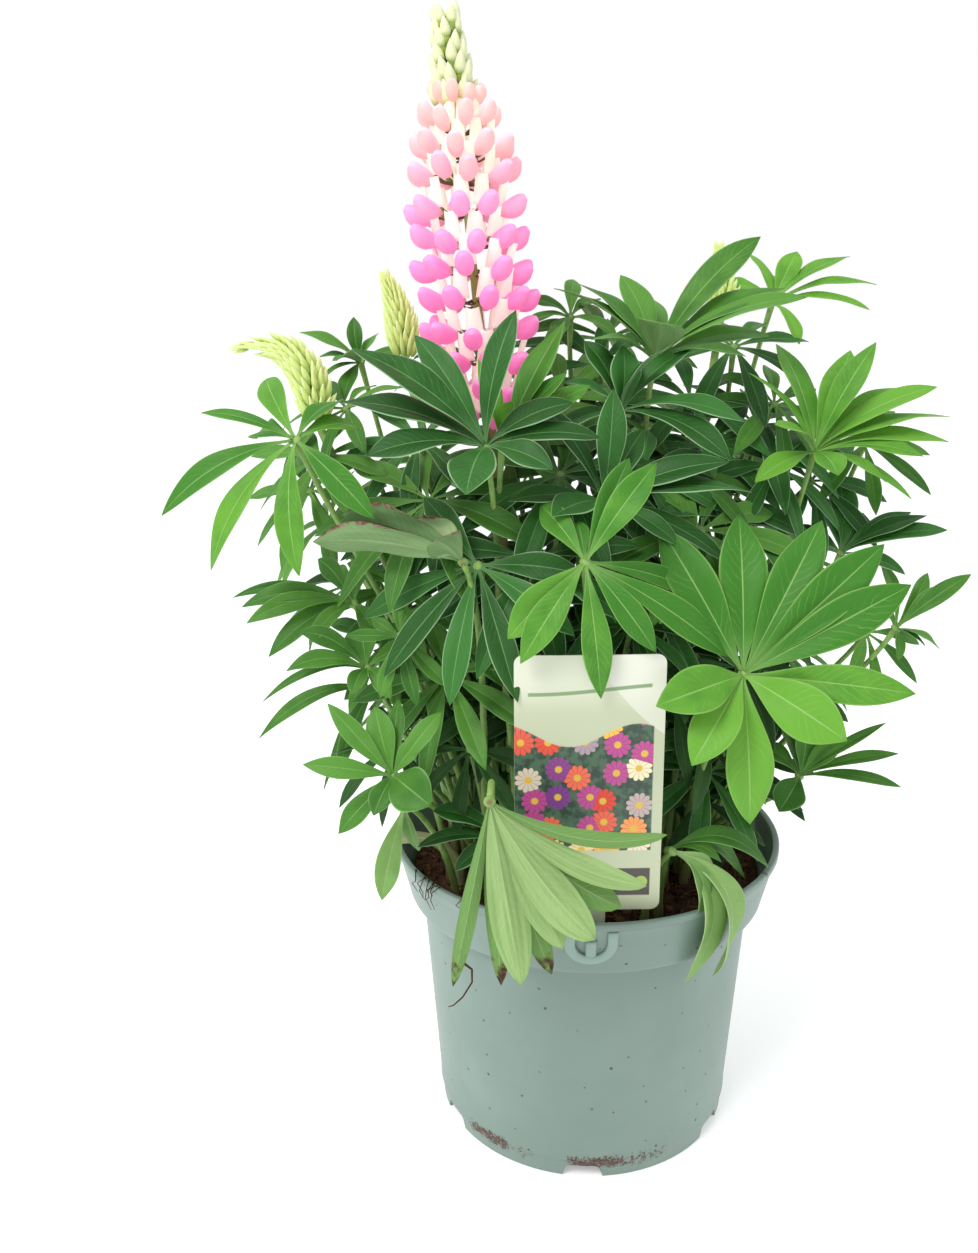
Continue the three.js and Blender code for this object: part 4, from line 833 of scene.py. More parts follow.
def greenFinish(name, base, top, tipTone, downy=0.35, turn=0.6, paintedGlow=0.0):
    f = Finish(name)
    across, along, seed, _ = f.marks()
    hairs = f.noise(1.0, 3, f.vector(across * 16, along * 5, seed * 30))
    tone = f.blend(f.band(along, 0.1, turn), paint(base), paint(top))
    tone = f.blend(f.band(along, 0.55, 1.0) * 0.7, tone, paint(tipTone))
    tone = f.blend(f.band(hairs, 0.5, 0.75) * downy, tone, paint("f0f3d6"))
    glow = dict(share=0.15, colour="c8e070")
    # painted glow: a part given a glow strength emits a little of its own colour
    return f.surface(tone, 0.6, f.bump(hairs, 0.35, 0.2), glow,
                     **{"Specular IOR Level": 0.3, "Emission Color": tone, "Emission Strength": paintedGlow})


pouchSkin = pouchFinish()
bannerSkin = bannerFinish()
calyxSkin = greenFinish("calyx", "6f8436", "93aa4a", "b4b070")
pedicelSkin = greenFinish("pedicel", "5c4238", "6a4a40", "7c5a48", 0.1)
rachisSkin = greenFinish("rachis", "8d9150", "a3915a", "86a040")
podSkin = greenFinish("pod", "8fae48", "e9eec0", "f6f6da", 0.2, turn=0.45)
# painted glow: the buds emit a little of their own colour
budSkin = greenFinish("bud", "a3bb58", "d6e88c", "f2f8c8", 0.5, paintedGlow=0.12)


def frameAt(centre, out, lean):  # the place, then its ways out, sideways and up, tipped by lean
    along = unit(out * math.cos(lean) + up * math.sin(lean))
    side = unit(np.cross(up, along))
    return centre, along, side, np.cross(along, side)


def addForm(shape, spot, xs, highs, wides, drops, finish, age, seed, around=14):  # closed, along its axis
    centre, along, side, above = spot
    angles = np.arange(around) * 2 * math.pi / around
    points = []
    grain = []
    for k, (x, high, wide, drop) in enumerate(zip(xs, highs, wides, drops)):
        ring = centre + along * x + above * drop
        points.append(ring + np.outer(np.cos(angles) * high, above) + np.outer(np.sin(angles) * wide, side))
        share = k / (len(xs) - 1)
        height = (np.cos(angles) + 1) / 2
        grain.append(np.stack([height, np.full(around, share), np.full(around, seed)], 1))
    size = around * len(xs)
    shape.add(np.concatenate(points), ringFaces(len(xs), around), finish, np.concatenate(grain),
              np.full(size, age))


def addPouch(shape, spot, reach, size, age, seed):  # the full lower petals, drawn up to a point at the end
    t = np.linspace(0, 1, 13)
    body = np.maximum((t + 0.03) ** 0.6 * np.sqrt(np.maximum(1 - t ** 3.6, 0)), 0.05) * 1.12
    xs = reach - 15 * size * (1 - t)
    drops = (3.6 * t ** 2.6 - 0.8) * size
    addForm(shape, spot, xs, body * 5.9 * size, body * 5.3 * size, drops, 0, age, seed, around=18)


def addBanner(shape, spot, reach, size, age, seed):  # the narrow upright petal, its edges folded back
    centre, along, side, above = spot
    rows = 8
    u = np.linspace(-1, 1, 7)
    front = []
    back = []
    marks = []
    for row in range(rows + 1):
        share = row / rows
        half = size * lerp(4.1, 2.9, share)
        x = reach - size * (11 - 3.2 * share)
        z = size * (1 + 12.6 * share - 0.9 * share ** 6 * (1 - np.abs(u)))
        curl = size * 2.3 * np.abs(u) ** 1.6
        tilt = side * size * 1.6 * (seed - 0.5) * share
        middle = centre + along * x + tilt
        sheet = middle + np.outer(half * u, side) + np.outer(z, above) - np.outer(curl, along)
        front.append(sheet + along * 0.2)
        back.append(sheet - along * 0.2)
        marks.append(np.stack([u, np.full(len(u), share), np.full(len(u), seed)], 1))
    faces = sheetFaces(rows, len(u))
    shape.add(np.concatenate(front + back), faces, 1, np.concatenate(marks + marks),
              np.full(2 * (rows + 1) * len(u), age))


def addFloret(shape, centre, out, reach, size, age, seed, lean):
    spot = frameAt(centre, out, lean)
    along = spot[1]
    calyx = reach - 15.5 * size
    path = [centre + along * lerp(2, calyx, t) - up * 1.2 * math.sin(math.pi * t) for t in (0, 0.35, 0.7, 1)]
    addTube(shape, path, [0.5, 0.45, 0.45, 0.7], 3, around=6)
    xs = np.array([-0.5, 1, 2.4, 3.8, 4.6]) * size + calyx
    radii = np.array([0.7, 1.6, 2.0, 2.0, 1.4]) * (size + 0.6 * max(age - 0.7, 0))
    addForm(shape, spot, xs, radii, radii * 0.9, [0] * 5, 2, age, seed, around=10)
    addPouch(shape, spot, reach, size, age, seed)
    addBanner(shape, spot, reach, size, age, seed)


def addBud(shape, root, along, out, length, thick, finish, seed, hook=0.12):
    side = unit(np.cross(along, out))
    above = np.cross(side, along)
    t = np.linspace(0, 1, 8)
    body = np.maximum(np.sin(math.pi * t ** 0.75) ** 0.8, 0.05) * thick
    body[-1] = 0.06 * thick
    drops = hook * length * (t - 0.4) ** 2
    spot = (root, along, side, above)
    addForm(shape, spot, t * length, body, body * 0.92, drops, finish, 1, seed, around=8)


def stemPath(foot, base, top, steps=14):
    base = np.array(base, float)
    top = np.array(top, float)
    start = np.array([*foot, stem["top"]], float)
    path = bezier(start, start + up * 90, base - 0.45 * (top - base), base, steps)
    root = start - up * (stem["top"] - stem["bottom"])
    return np.concatenate([[root], path])


def ringWay(line, whorl, i, count, spread):  # the way out of one flower or bud in its whorl
    turn = (i + whorl % 2 / 2 + spread * draw(whorl, i, 5)) / count * 2 * math.pi
    out = np.array([math.cos(turn), math.sin(turn), 0])
    return unit(out - line * out.dot(line))


def makeSpike():
    shape = Shape()
    base = np.array(spike["base"], float)
    top = np.array(spike["top"], float)
    length = np.linalg.norm(top - base)
    line = (top - base) / length
    lower = stemPath(spike["foot"], base, top)
    shares = np.arange(1, 9) / 8
    centres = np.concatenate([lower, [base + line * length * share for share in shares]])
    radii = np.concatenate([np.full(len(lower), spike["stem"]), lerp(spike["stem"], 0.8, shares)])
    addTube(shape, centres, radii, 4, around=10)
    rise = 2.0
    whorl = 0
    while rise / length < spike["last"]:
        share = rise / length
        reach, size, lean, spacing = (np.interp(share, spike["share"], spike[key])
                                      for key in ("reach", "size", "lean", "spacing"))
        for i in range(spike["florets"]):
            out = ringWay(up, whorl, i, spike["florets"], 0.12)
            centre = base + line * (rise + 1.5 * draw(whorl, i, 6))
            tip = reach * (1 + 0.05 * draw(whorl, i, 7))
            addFloret(shape, centre, out, tip, size, share / spike["last"], draw(whorl, i, 8) / 2 + 0.5,
                      lean + 0.1 * draw(whorl, i, 9))
        rise += spacing
        whorl += 1
    for level in range(pods["levels"]):
        start = base + line * (rise - 5 + pods["spacing"] * level)
        share = level / (pods["levels"] - 1)
        for i in range(pods["around"]):
            out = ringWay(line, level, i, pods["around"], 0.15)
            along = unit(line + out * lerp(*pods["open"], share))
            root = start + out * lerp(*pods["out"], share) + line * 1.5 * draw(level, i, 17)
            seed = draw(level, i, 16) / 2 + 0.5
            addBud(shape, root - along * 3, along, out, *pods["bract"], 2, seed)
            length, thick = lerp(*pods["length"], share), lerp(*pods["thick"], share)
            addBud(shape, root, along, out, length, thick, 5, seed)
    return shape.build("flowerSpike", [pouchSkin, bannerSkin, calyxSkin, pedicelSkin, rachisSkin, podSkin])


place(makeSpike(), "flower", "flower_spike")

# via is the middle of a spike that hangs over.
budsAround = 11
budSpikes = [
    dict(node="bud_spike_left", foot=(-58, 16), base=(-128, 20, 354), via=(-138, 20, 382),
         top=(-164, 20, 387), width=22, whorls=13),
    dict(node="bud_spike_middle", foot=(-44, 20), base=(-87, 40, 381), via=(-89, 40, 400), top=(-95, 40, 418),
         width=18, whorls=9),
    dict(node="bud_spike_right", foot=(42, 26), base=(70, 60, 398), via=(70, 60, 413), top=(68, 60, 430),
         width=15, whorls=8),
]


def makeBudSpike(bud):
    shape = Shape()
    base, via, top = (np.array(bud[key], float) for key in ("base", "via", "top"))
    t = np.linspace(0, 1, bud["whorls"] * 2 + 1)[:, None]
    pull = 2 * via - (base + top) / 2
    axis = (1 - t) ** 2 * base + 2 * (1 - t) * t * pull + t * t * top
    lower = stemPath(bud["foot"], base, pull)
    radii = np.concatenate([np.full(len(lower), 2.0), np.linspace(2.0, 0.8, len(axis) - 1)])
    addTube(shape, np.concatenate([lower, axis[1:]]), radii, 1)
    for whorl in range(bud["whorls"]):
        share = whorl / bud["whorls"]
        radius = bud["width"] / 2 * (1 - share ** 2) ** 0.75 * (0.8 + 0.2 * min(share * 5, 1))
        line = unit(axis[2 * whorl + 2] - axis[2 * whorl])
        for i in range(budsAround):
            out = ringWay(line, whorl, i, budsAround, 0.12)
            along = unit(line + out * lerp(0.5, 0.05, share ** 0.7))
            root = axis[2 * whorl] + out * radius * 0.5
            size = lerp(12.5, 8, share) * (1 + 0.12 * draw(whorl, i, 19))
            addBud(shape, root, along, out, size, max(radius * 0.17, 0.9), 0, draw(whorl, i, 16) / 2 + 0.5)
    return shape.build(camel(bud["node"]), [budSkin, stalkSkin])


for bud in budSpikes:
    place(makeBudSpike(bud), "bud", bud["node"])
print("stage: flowers")


# broken stalk

stub = dict(radius=2.8, sides=14, rings=24, hollow=0.55, hollowRings=4,
            through=[(-63, -28, 124.3), (-63, -28, 134), (-64, -28, 146), (-74, -28, 157), (-86, -29, 159),
                     (-97, -31, 158)])


def makeStub():
    shape = Shape()
    sides, rings, deep = stub["sides"], stub["rings"], stub["hollowRings"]
    through = np.array(stub["through"], float)
    t = np.linspace(0, len(through) - 1, rings)
    path = np.stack([np.interp(t, range(len(through)), through[:, k]) for k in range(3)], 1)
    for _ in range(4):  # rounds the corners
        path[1:-1] = (path[:-2] + path[1:-1] * 2 + path[2:]) / 4
    radii = stub["radius"] + 0.25 * np.sin(t * 5)
    outer = tube(path, radii, sides)
    inner = tube(path[:-deep - 1:-1], radii[:-deep - 1:-1] * stub["hollow"], sides)
    turns = np.tile(np.arange(sides) / sides, rings)
    grain = np.stack([turns, np.repeat(t / t[-1], sides), np.full(rings * sides, 0.5)], 1)
    shape.add(outer, ringFaces(rings, sides, capped=False) + [tuple(range(sides))[::-1]], 0, grain)
    last = shape.count - sides
    start = shape.count
    bottom = tuple((deep - 1) * sides + k for k in range(sides))
    shape.add(inner, ringFaces(deep, sides, capped=False) + [bottom], 1)
    shape.faces.extend((last + k, last + (k + 1) % sides, start + (k + 1) % sides, start + k)
                       for k in range(sides))
    shape.finishes.extend([1] * sides)
    return shape.build("stalkStub", [stubSkin, pithSkin])


def stubFinish():
    f = Finish("stub")
    across, along, seed, _ = f.marks()
    fibre = f.noise(1.0, 3, f.vector(across * 40, along * 3, seed))
    tone = f.blend(f.band(fibre, 0.35, 0.7), paint("b7b58a"), paint("8f9a62"))
    tone = f.blend(f.band(along, 0.86, 1.0), tone, paint("6b4b36"))
    return f.surface(tone, 0.7, f.bump(fibre, 0.5, 0.4))


def pithFinish():
    f = Finish("pith")
    grain = f.noise(1.5, 4)
    tone = f.blend(f.band(grain, 0.3, 0.7), paint("3a251b"), paint("6b4c38"))
    return f.surface(tone, 0.9, f.bump(grain, 0.6, 0.4))


stubSkin = stubFinish()
pithSkin = pithFinish()
place(makeStub(), "stub", "stalk_stub")


# pot

pot = dict(height=150, rim=96.5, lip=3, collar=89.5, collarHeight=27, wallTop=83, foot=74.5, footHeight=9,
           thick=2.2, floor=8, notches=6, notchTurn=-4, notchWidth=21, notchHeight=6.5, sides=168)


def wallRadius(z):
    return lerp(pot["foot"], pot["wallTop"], z / (pot["height"] - pot["collarHeight"]))


def collarRadius(z):
    share = (z - pot["height"] + pot["collarHeight"]) / (pot["collarHeight"] - pot["lip"] - 1)
    return lerp(pot["collar"], pot["rim"] - 1.4, share)


def potProfile():
    height, rim, collar = pot["height"], pot["rim"], pot["collar"]
    shoulder = height - pot["collarHeight"]
    under = height - pot["lip"]
    foot = pot["footHeight"]
    thick = pot["thick"]
    floor = pot["floor"]
    base = [(wallRadius(floor) - thick - 1, floor), (wallRadius(floor - 1) - thick, floor - 1),
            (wallRadius(0) - thick, 0.3), (wallRadius(0) - thick + 0.4, 0)]
    outer = [(wallRadius(0) - 0.5, 0), (wallRadius(0), 0.5), (wallRadius(foot) - 0.1, foot - 0.4),
             (wallRadius(foot) + 0.1, foot), (wallRadius(foot) + 0.7, foot + 0.7)]
    outer += [(wallRadius(z) + 0.3 * (1 - z / shoulder), z) for z in np.linspace(foot + 6, shoulder - 6, 8)]
    outer += [(wallRadius(shoulder - 4), shoulder - 4), (wallRadius(shoulder - 3) + 0.4, shoulder - 2.8)]
    outer += [(collar - 2, shoulder - 1.9), (collar - 0.6, shoulder - 1.4), (collar, shoulder - 0.3)]
    outer += [(collarRadius(z), z) for z in np.linspace(shoulder + 1, under - 1.2, 5)]
    outer += [(rim - 1.1, under - 0.8), (rim - 0.3, under - 0.5), (rim, under + 0.1), (rim, height - 0.6),
              (rim - 0.2, height - 0.2), (rim - 0.6, height)]
    lining = [(rim - 2.2, height), (rim - 2.9, height - 0.5), (rim - 3.4, height - 3),
              (lerp(collar - thick, rim - 3.4, 0.5), height - 14), (collar - thick, shoulder + 1),
              (wallRadius(shoulder - 5) - thick, shoulder - 5)]
    lining += [(wallRadius(z) - thick, z) for z in (90, 60, 30)]
    lining += [(wallRadius(floor + thick) - thick, floor + thick + 1),
               (wallRadius(floor + thick) - thick - 1, floor + thick)]
    return base + outer + lining


def lathe(profile, sides):
    angles = (np.arange(sides) + 0.5) * 2 * math.pi / sides
    points = [np.stack([r * np.cos(angles), r * np.sin(angles), np.full(sides, z)], 1) for r, z in profile]
    return np.concatenate(points), ringFaces(len(profile), sides)


def meshObject(name, points, faces):
    mesh = bpy.data.meshes.new(name)
    mesh.from_pydata((np.asarray(points, float) * mm).tolist(), [], faces)
    return link(name, mesh)


def applyModifiers(piece):
    piece.data = bpy.data.meshes.new_from_object(piece.evaluated_get(bpy.context.evaluated_depsgraph_get()))
    piece.modifiers.clear()


def notchCutter():
    half = pot["notchWidth"] / 2
    high = pot["notchHeight"]
    section = [(-half, -2), (half, -2), (half - 2.4, high - 1.4), (half - 3.4, high - 0.3),
               (half - 4.6, high), (4.6 - half, high), (3.4 - half, high - 0.3), (2.4 - half, high - 1.4)]
    points = []
    faces = []
    size = len(section)
    for k in range(pot["notches"]):
        turn = k * 2 * math.pi / pot["notches"] + math.radians(pot["notchTurn"])
        c, s = math.cos(turn), math.sin(turn)
        start = len(points)
        for y in (-pot["foot"] - 5, -pot["foot"] + 12):
            points += [(x * c - y * s, x * s + y * c, z) for x, z in section]
        faces.append(tuple(start + n for n in range(size)))
        faces.append(tuple(start + size + n for n in reversed(range(size))))
        for n in range(size):
            m = (n + 1) % size
            faces.append((start + m, start + n, start + size + n, start + size + m))
    return meshObject("notches", points, faces)


clip = dict(x=-4.8, z=139.5, outer=11.6, inner=7, arms=7, depth=1.5, tongue=(-7.75, 1.75), tongueWidth=5)


def clipPlace(points):
    tilt = math.atan(collarRadius(clip["z"] + 1) - collarRadius(clip["z"]))
    points = np.asarray(points, float)
    y = -points[:, 2] * math.cos(tilt) - points[:, 1] * math.sin(tilt)
    z = points[:, 1] * math.cos(tilt) - points[:, 2] * math.sin(tilt)
    return np.stack([points[:, 0] + clip["x"], y - collarRadius(clip["z"]), z + clip["z"]], 1)


def makeClip():
    middle = (clip["outer"] + clip["inner"]) / 2
    half = (clip["outer"] - clip["inner"]) / 2
    arms = clip["arms"]
    path = [(-middle, y, (1, 0)) for y in (arms, arms - 0.8, arms / 2)]
    path += [(middle * math.cos(a), middle * math.sin(a), (-math.cos(a), -math.sin(a)))
             for a in np.linspace(math.pi, 2 * math.pi, 19)]
    path += [(middle, y, (-1, 0)) for y in (arms / 2, arms - 0.8, arms)]
    deep = clip["depth"]
    section = [(-half, -2), (-half, deep - 0.7), (-half + 0.3, deep - 0.2), (-half + 0.8, deep),
               (half - 0.8, deep), (half - 0.3, deep - 0.2), (half, deep - 0.7), (half, -2)]
    points = []
    for k, (x, y, way) in enumerate(path):
        end = 0.6 if k in (0, len(path) - 1) else 1
        for w, d in section:
            points.append((x + way[0] * w, y + way[1] * w, d * end))
    shape = Shape()
    shape.add(clipPlace(points), ringFaces(len(path), len(section)))
    wide = clip["tongueWidth"] / 2
    bar = []
    for y in np.linspace(*clip["tongue"], 6):
        bar += [(-wide, y, -2), (-wide, y, deep - 0.8), (-wide + 0.6, y, deep - 0.2),
                (wide - 0.6, y, deep - 0.2), (wide, y, deep - 0.8), (wide, y, -2)]
    shape.add(clipPlace(bar), ringFaces(6, 6))
    return shape.build("labelClip", [clipSkin])


def potFinish(name, tone, lighter):
    f = Finish(name)
    x, y, z = f.split(f.place)
    wide = f.noise(0.02, 3)
    fine = f.noise(0.9, 4)
    colour = f.blend(f.band(wide, 0.35, 0.7) * 0.6, paint(tone), paint(lighter))
    colour = f.blend(f.band(fine, 0.5, 0.8) * 0.2, colour, paint("7f978e"))
    # painted shade: the front of the pot is darkened round its middle, as if less light reached that side
    middle = f.band(abs(x + 8), 70, 15) * f.band(y, -35, -70)
    colour = f.blend(middle * 0.5, colour, paint("687d74"))
    around = x.turnFrom(0 - y) * 80
    flat = {"Vector": f.vector(around * 0.06, z * 0.06, 0.0), "Scale": 1.0}
    settings = dict(feature="F1", voronoi_dimensions="2D")
    keep = f.split(f.node("TexVoronoi", settings, flat, output="Color"))
    reach = f.node("TexVoronoi", settings, flat, output="Distance") + f.noise(0.8, 2) * 0.04
    specks = (1 - f.band(reach, 0.034 + keep[1] * 0.03, 0.044 + keep[1] * 0.03)) * f.band(keep[0], 0.35, 0.4)
    dust = f.noise(0.35, 5)
    low = f.band(z, 30, 2) * f.band(dust, 0.5, 0.75) * 0.35
    line = f.band(abs(z - 6.5 - f.noise(0.05, 2) * 4), 8.0, 1.0) * f.band(y, -20, -40)
    thick = f.band(abs(x + 52), 14, 4) + f.band(abs(x + 36), 16, 4) * 0.6 + f.band(abs(x + 2), 18, 6)
    thick = thick + f.band(abs(x - 20), 22, 8) * 0.75 + f.band(abs(x - 48), 20, 5) * 0.4
    spread = line * thick.clamped()
    grains = f.noise(0.5, 6, roughness=0.8)
    smear = f.band(spread * 0.33 + grains, 0.73, 0.79) * f.band(spread, 0.0, 0.15)
    colour = f.blend(low, colour, paint("8c8a78"))
    # painted shadow: a dark line just under the rim's lip
    colour = f.blend(f.band(abs(z - 146.4), 0.9, 0.3) * 0.4, colour, paint("53655e"))
    dirt = f.blend(f.band(f.noise(0.9, 3), 0.4, 0.6), paint("2e1d17"), paint("60402f"))
    colour = f.blend((specks * 0.9).most(smear.clamped()), colour, f.blend(specks, dirt, paint("30241e")))
    return f.surface(colour, 0.5 + dust * 0.12 + smear * 0.2, f.bump(fine + smear * 2, 0.12, 0.25),
                     **{"Specular IOR Level": 0.6, "Coat Weight": 0.35, "Coat Roughness": 0.35})


potSkin = potFinish("potPlastic", "738a81", "82998f")
clipSkin = potFinish("clipPlastic", "93b1a7", "a2c0b6")


def makePot():
    piece = meshObject("pot", *lathe(potProfile(), pot["sides"]))
    cutter = notchCutter()
    cut = piece.modifiers.new("notches", "BOOLEAN")
    cut.operation = "DIFFERENCE"
    cut.object = cutter
    applyModifiers(piece)
    bpy.data.objects.remove(cutter)
    piece.data.materials.clear()
    piece.data.materials.append(potSkin)
    piece.data.polygons.foreach_set("use_smooth", np.ones(len(piece.data.polygons), bool))
    piece.data.set_sharp_from_angle(angle=math.radians(38))
    return piece


place(makePot(), "pot", "pot")
place(makeClip(), "pot")
print("stage: pot")


# soil

soil = dict(level=131, rough=1.6, edge=86.2, rings=44, sides=150, crumbs=1300, crumbReach=85,
            fibres=260, fibreReach=82, bottom=12)
roots = dict(hanging=9, lying=6)
strand = dict(start=(-64, -116, 134.5), thick=0.55,
              steps=[(5, 0, 10), (8, -1, 8), (8, -1, 2), (4, -1, -5), (0, -1, -9), (-2, -1, -9.5)])


def soilHeight(x, y):
    bumps = math.sin(x * 0.21 + 1.3) * math.cos(y * 0.17 - 0.6) + 0.6 * math.sin(x * 0.09 - y * 0.13)
    return soil["level"] + soil["rough"] * bumps


def soilTop(x, y):
    coarse = noise.noise(Vector((x * 0.35, y * 0.35, 0.5))) * 1.1
    fine = noise.noise(Vector((x * 0.9, y * 0.9, 3))) * 0.6
    return soilHeight(x, y) + coarse + fine


def soilFinish():
    f = Finish("soil")
    grain = f.noise(0.7, 6, roughness=0.7)
    wide = f.noise(0.08, 3)
    tone = f.blend(f.band(grain, 0.35, 0.65), paint("2a1b14"), paint("5d4030"))
    tone = f.blend(f.band(wide, 0.5, 0.7) * 0.5, tone, paint("6b4a36"))
    return f.surface(tone, 0.95, f.bump(grain, 0.8, 1.0), **{"Specular IOR Level": 0.15})


def crumbFinish():
    f = Finish("crumbs")
    seed = f.marks()[2]
    grain = f.noise(1.2, 4)
    stops = [(0.0, paint("2d1c15")), (0.4, paint("4d3325")), (0.75, paint("6f4d38")), (1.0, paint("8c6a4c"))]
    tone = f.node("ValToRGB", dict(stops=stops), {0: seed * 0.8 + grain * 0.3 - 0.05}, output=0)
    return f.surface(tone, 0.92, f.bump(grain, 0.6, 0.5), **{"Specular IOR Level": 0.15})


soilSkin = soilFinish()
crumbSkin = crumbFinish()


def makeSoil():
    shape = Shape()
    sides, rings = soil["sides"], soil["rings"]
    angles = np.arange(sides) * 2 * math.pi / sides
    points = []
    bottom = soil["bottom"]
    wall = [(1.0, bottom), (wallRadius(bottom) - 3.2, bottom), (wallRadius(118) - 2.4, 119.5), (85.6, 125.5)]
    for radius, z in wall:
        points.append(np.stack([radius * np.cos(angles), radius * np.sin(angles), np.full(sides, z)], 1))
    for ring in range(rings):
        radius = soil["edge"] * (1 - ring / rings) + 0.5
        ringPoints = [(radius * math.cos(a), radius * math.sin(a)) for a in angles]
        points.append(np.array([(x, y, soilTop(x, y)) for x, y in ringPoints]))
    shape.add(np.concatenate(points), ringFaces(len(points), sides))
    return shape.build("soil", [soilSkin])


def crumbForm():
    mesh = bmesh.new()
    bmesh.ops.create_icosphere(mesh, subdivisions=1, radius=1)
    points = np.array([tuple(v.co) for v in mesh.verts])
    faces = [tuple(v.index for v in face.verts) for face in mesh.faces]
    mesh.free()
    return points, faces


def makeCrumbs():
    shape = Shape()
    ball, faces = crumbForm()
    for k in range(soil["crumbs"]):
        turn = math.pi * draw(k, 1, 21)
        radius = soil["crumbReach"] * math.sqrt(abs(draw(k, 2, 22)))
        x, y = radius * math.cos(turn), radius * math.sin(turn)
        size = 0.7 + 1.7 * abs(draw(k, 3, 23)) ** 3
        wobble = 1 + 0.3 * np.array([draw(k, n, 24) for n in range(len(ball))])
        stretch = np.array([1 + 0.5 * draw(k, 4, 25), 1 + 0.5 * draw(k, 5, 26), 0.8])
        z = soilTop(x, y) + size * 0.35
        grain = np.tile([0, 0, abs(draw(k, 6, 27))], (len(ball), 1))
        shape.add(ball * wobble[:, None] * stretch * size + (x, y, z), faces, 0, grain)
    for k in range(soil["fibres"]):
        turn = math.pi * draw(k, 7, 28)
        radius = soil["fibreReach"] * math.sqrt(abs(draw(k, 8, 29)))
        x, y = radius * math.cos(turn), radius * math.sin(turn)
        way = math.pi * draw(k, 9, 30)
        length = 4 + 9 * abs(draw(k, 10, 31))
        path = []
        for step in range(5):
            t = step / 4 - 0.5
            px = x + length * t * math.cos(way) + 1.5 * draw(k, step, 32)
            py = y + length * t * math.sin(way) + 1.5 * draw(k, step, 33)
            path.append((px, py, soilTop(px, py) + 0.7 + 1.5 * abs(draw(k, step, 34))))
        addTube(shape, path, [0.2, 0.3, 0.35, 0.3, 0.15], 0, around=5, seed=0.5 + 0.5 * abs(draw(k, 11, 35)))
    return shape.build("soilCrumbs", [crumbSkin])


def rimPlace(turn, out, z):
    angle = math.radians(turn)
    return np.array([out * math.cos(angle), out * math.sin(angle), z])


def makeRoots():  # fine roots that hang over the rim, and some that lie along it
    shape = Shape()
    for k in range(roots["hanging"]):
        turn = 221 + 13 * draw(k, 1, 51)
        drop = 7 + 6 * draw(k, 2, 52)
        path = [rimPlace(turn + 2 * draw(k, n, 53), out, z) for n, (out, z) in enumerate(
            [(84, 133), (92, 144), (95.5, 151), (98, 147.5), (97.4, 147 - drop / 2), (96.6, 147 - drop)])]
        addTube(shape, path, [0.3, 0.3, 0.28, 0.25, 0.2, 0.12], 0, around=5, seed=0.3 + 0.3 * draw(k, 3, 56))
    for k in range(roots["lying"]):
        turn = 212 + 9 * k
        path = [rimPlace(turn + 4 * n, 92.5 + 1.2 * draw(k, n, 57), 149.2 + 0.6 * draw(k, n, 58))
                for n in range(5)]
        addTube(shape, path, [0.15, 0.4, 0.3, 0.35, 0.15], 0, around=5, seed=0.2)
    return shape.build("rimRoots", [crumbSkin])


def makeStrand():  # the dried stem that hangs from the front leaf
    shape = Shape()
    path = [np.array(strand["start"]) + step for step in strand["steps"]]
    addTube(shape, path, np.linspace(strand["thick"], 0.2, len(path)), 0, around=6, seed=0.3)
    return shape.build("dryStrand", [crumbSkin])


place(makeSoil(), "soil", "soil")
place(makeRoots(), "soil")
place(makeStrand(), "leaf_pale")
place(makeCrumbs(), "soil")
print("stage: soil")


# label

label = dict(width=63, bottom=150.5, top=267, thick=0.8, x=-6, y=-84, corner=4, tongueWidth=16,
             tongueBottom=126)
picture = dict(left=-37.5, right=21, bottom=179, top=232, swell=5, scale=0.085, petals=6)
strip = dict(left=-9, right=21, z=164, high=6.5, dots=4)


